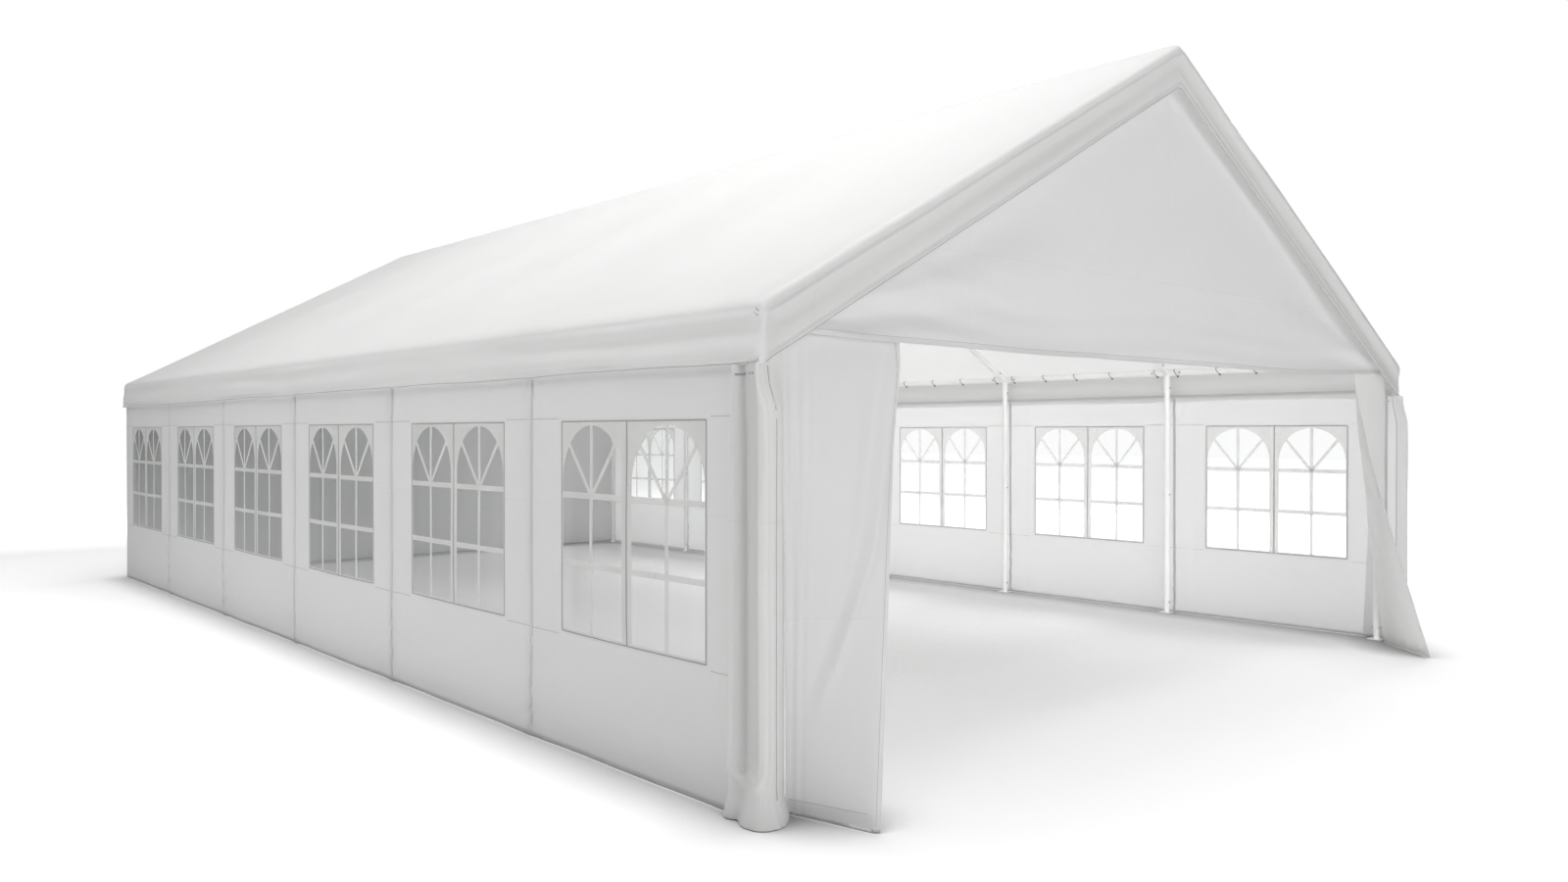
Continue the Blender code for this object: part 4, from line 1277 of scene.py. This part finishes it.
def plate_shape():
    """Square base plate with rounded corners and four peg holes."""
    data = bpy.data.curves.new("plate", "CURVE")
    data.dimensions, data.fill_mode, data.extrude = "2D", "BOTH", PLATE_T / 2
    inset, corner, peg = PLATE / 2 - 0.010, 0.010, 0.036
    outline, holes = [], []
    for cx, cy, start in ((1, 1, 0), (-1, 1, 90), (-1, -1, 180), (1, -1, 270)):
        outline += circle(cx * inset, cy * inset, corner, [math.radians(start + 22.5 * k) for k in range(5)])
    for cx, cy in ((-1, -1), (-1, 1), (1, -1), (1, 1)):
        holes.append(circle(cx * peg, cy * peg, 0.005, np.arange(16) * math.pi / 8))
    for loop in (outline, *holes):
        spline = data.splines.new("POLY")
        spline.points.add(len(loop) - 1)
        for point, (x, y) in zip(spline.points, loop):
            point.co = (x, y, 0, 1)
        spline.use_cyclic_u = True
    helper = bpy.data.objects.new("plate", data)
    mesh = bpy.data.meshes.new_from_object(helper)
    shape = Shape()
    verts = [(v.co.x, v.co.y, v.co.z + PLATE_T / 2) for v in mesh.vertices]
    shape.add(verts, [p.vertices[:] for p in mesh.polygons])
    bpy.data.objects.remove(helper)
    bpy.data.meshes.remove(mesh)
    return shape


def steel_piece(name, part, place, node):
    """Copy of a steel part at its place, as a piece of its own."""
    shape = Shape()
    shape.add_moved(part, place)
    piece = shape.piece(name, STEEL, "white_steel", sharp=35)
    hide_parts(node)


def socket(start, end):
    """Profile of a socket between two heights, with rolled lips."""
    lip = SLEEVE_R + 0.00075
    return [(TUBE_R, start - 0.0005), (SLEEVE_R - 0.0008, start), (lip, start + 0.002),
            (lip, start + 0.006), (SLEEVE_R, start + 0.009), (SLEEVE_R, end - 0.009),
            (lip, end - 0.006), (lip, end - 0.002), (SLEEVE_R - 0.0008, end), (TUBE_R, end + 0.0005)]


def joint(z):
    """Profile of the slip joint between two lengths of tube: a rolled edge and a fine groove."""
    return [(TUBE_R, z - 0.030), (TUBE_R + 0.0012, z - 0.027), (TUBE_R + 0.0012, z - 0.001),
            (TUBE_R - 0.0010, z), (TUBE_R, z + 0.0015)]


def make_legs():
    top = EAVE_AXIS - 0.018
    profile = [(STUB_R, 0.004), (STUB_R, STUB - 0.001), (TUBE_R - 0.001, STUB), (TUBE_R, STUB + 0.001)]
    profile += joint(1.0) + socket(EAVE_AXIS - SLEEVE, top)[:-2] + [(SLEEVE_R, top)]
    leg = lathe(profile)
    weld = [(STUB_R, 0.010), (STUB_R + 0.002, 0.0065), (STUB_R + 0.0045, 0.0048), (STUB_R, 0.0040)]
    for part in (lathe(weld), plate_shape()):
        leg.add_moved(part, Matrix.Identity(4))
    for side, sign in SIDES.items():
        for number, y in enumerate(FRAMES, 1):
            place = Matrix.Translation((sign * LEG_X, y, 0))
            steel_piece(f"steel_leg_{side}_{number}", leg, place, f"leg_{side}_{number}")


def make_rafters():
    length = math.hypot(LEG_X, RIDGE_AXIS - EAVE_AXIS)
    profile = [(SLEEVE_R, 0.016)] + socket(0.020, SLEEVE)[4:]
    profile += joint(length / 2) + socket(length - SLEEVE, length - 0.020)[:6] + [(SLEEVE_R, length - 0.014)]
    rafter = lathe(profile)
    for side, sign in SIDES.items():
        eave, ridge = Vector((sign * LEG_X, 0, EAVE_AXIS)), Vector((0, 0, RIDGE_AXIS))
        for number, y in enumerate(FRAMES, 1):
            place = Matrix.Translation((0, y, 0)) @ along(ridge - eave, eave)
            steel_piece(f"steel_rafter_{side}_{number}", rafter, place, f"rafter_{side}_{number}")


def make_long_tubes():
    """Ridge and eave tubes, with a socket at each frame and a slip joint between each two."""
    start, end = FRONT + FABRIC + GAP, BACK - FABRIC - GAP
    profile = [(SLEEVE_R, start)]
    for i, y in enumerate(FRAMES):
        if i:
            profile += joint((y + FRAMES[i - 1]) / 2)
        part = socket(max(y - SLEEVE, start + 0.0006), min(y + SLEEVE, end - 0.0006))
        if i == 0:
            part = part[3:]
        if i == BAYS:
            part = part[:-3]
        profile += part
    profile.append((SLEEVE_R, end))
    tube = lathe(profile)
    for name, x, z, node in (("steel_ridge", 0, RIDGE_AXIS, "ridge_tube"),
                             ("steel_eave_left", -LEG_X, EAVE_AXIS, "eave_tube_left"),
                             ("steel_eave_right", LEG_X, EAVE_AXIS, "eave_tube_right")):
        steel_piece(name, tube, along((0, 1, 0), (x, 0, z)), node)


def make_bolts():
    """Hexagon bolts through the sockets, the slip joints and the feet."""
    hexagon = [(0.0001, 0.0085), (0.0050, 0.0085), (0.0062, 0.0075), (0.0062, 0.0022), (0.0062, 0.0020)]
    nut = [(0.0001, 0.0135), (0.0030, 0.0135), (0.0036, 0.0125), (0.0036, 0.0080), (0.0062, 0.0078),
           (0.0062, 0.0020)]
    washer = lathe([(0.0090, 0.0020), (0.0092, 0.0012), (0.0090, -0.0015)], 20)
    head, tail = lathe(hexagon, 6), Shape()
    head.add_moved(washer, Matrix.Identity(4))
    for part in (washer, lathe(nut, 6)):
        tail.add_moved(part, Matrix.Identity(4))
    bolts = Shape()
    level, cross, inset = (0, 1, 0), (1, 0, 0), SLEEVE - 0.025

    def through(point, direction, radius):
        """Put a head and a tail on the two sides of a tube."""
        direction = Vector(direction).normalized()
        bolts.add_moved(head, along(direction, Vector(point) + direction * radius))
        bolts.add_moved(tail, along(-direction, Vector(point) - direction * radius))

    for sign in (-1, 1):
        rise = Vector((-sign * LEG_X, 0, RIDGE_AXIS - EAVE_AXIS))
        length = rise.length
        rise.normalize()
        for y in FRAMES:
            for z, radius in ((0.088, TUBE_R), (0.985, TUBE_R + 0.001), (EAVE_AXIS - inset, SLEEVE_R)):
                through((sign * LEG_X, y, z), level, radius)
            base = Vector((sign * LEG_X, y, EAVE_AXIS))
            for reach, radius in ((inset, SLEEVE_R), (length / 2 - 0.014, TUBE_R + 0.001),
                                  (length - inset, SLEEVE_R)):
                through(base + rise * reach, level, radius)
    for x, z in ((0, RIDGE_AXIS), (-LEG_X, EAVE_AXIS), (LEG_X, EAVE_AXIS)):
        for y in FRAMES:
            for at in (y - inset, y + inset):
                if FRONT + 0.03 < at < BACK - 0.03:
                    through((x, at, z), cross, SLEEVE_R)
    bolts.piece("frame_bolts", ZINC, "zinc_bolt", sharp=35)


def make_elastics():
    """Elastic loops that tie the cover and the walls to the eave tubes, each with a plastic ball."""
    cords, balls = Shape(), Shape()
    arc = [(0.0001, 0.0065), (0.0034, 0.0056), (0.0058, 0.0032)]
    ball = lathe(arc + [(0.0065, 0)] + [(r, -z) for r, z in arc[::-1]], 16)
    lean, hang, turns = 0.018, math.radians(-72), np.linspace(-math.pi, math.pi, 26)

    def round_tube(sign, y, r, a):
        """Point of a loop at an angle around the eave tube."""
        return sign * LEG_X - sign * r * math.cos(a), y + lean * math.sin(a), EAVE_AXIS + r * math.sin(a)

    for sign in (-1, 1):
        for i in range(BAYS):
            for k, share in enumerate((0.07, 0.32, 0.53, 0.74, 0.95)):
                y = FRAMES[i] + SPACING * (share + 0.02 * float(noise(i * 3.1 + k, sign, 161)))
                near = min(abs(y - f) for f in FRAMES)
                r = TUBE_R + 0.0018 + (SLEEVE_R - TUBE_R if near < SLEEVE + 0.004 else 0)
                tube_along(cords, [round_tube(sign, y, r, a) for a in turns], 0.0022)
                x, _, z = round_tube(sign, y, r + 0.006, hang)
                balls.add_moved(ball, along((0.3, 1, 0), (x, y - lean, z)))
    cords.piece("elastic_loops", CORD, "elastic_cord")
    balls.piece("elastic_balls", HOLE, "elastic_cord")


make_camera()
make_light()
make_floor()
make_roof()
for side in SIDES:
    make_wall(side, "front", 0, BAYS // 2)
    make_wall(side, "rear", BAYS // 2, BAYS // 2)
    make_window_films(side)
    make_window_print(side)
    make_wall_seams(side)
    make_wrap(side)
for end in ("front", "back"):
    make_gable(end)
make_back_wall()
make_left_flap()
make_right_flap()
make_legs()
make_rafters()
make_long_tubes()
make_bolts()
make_elastics()
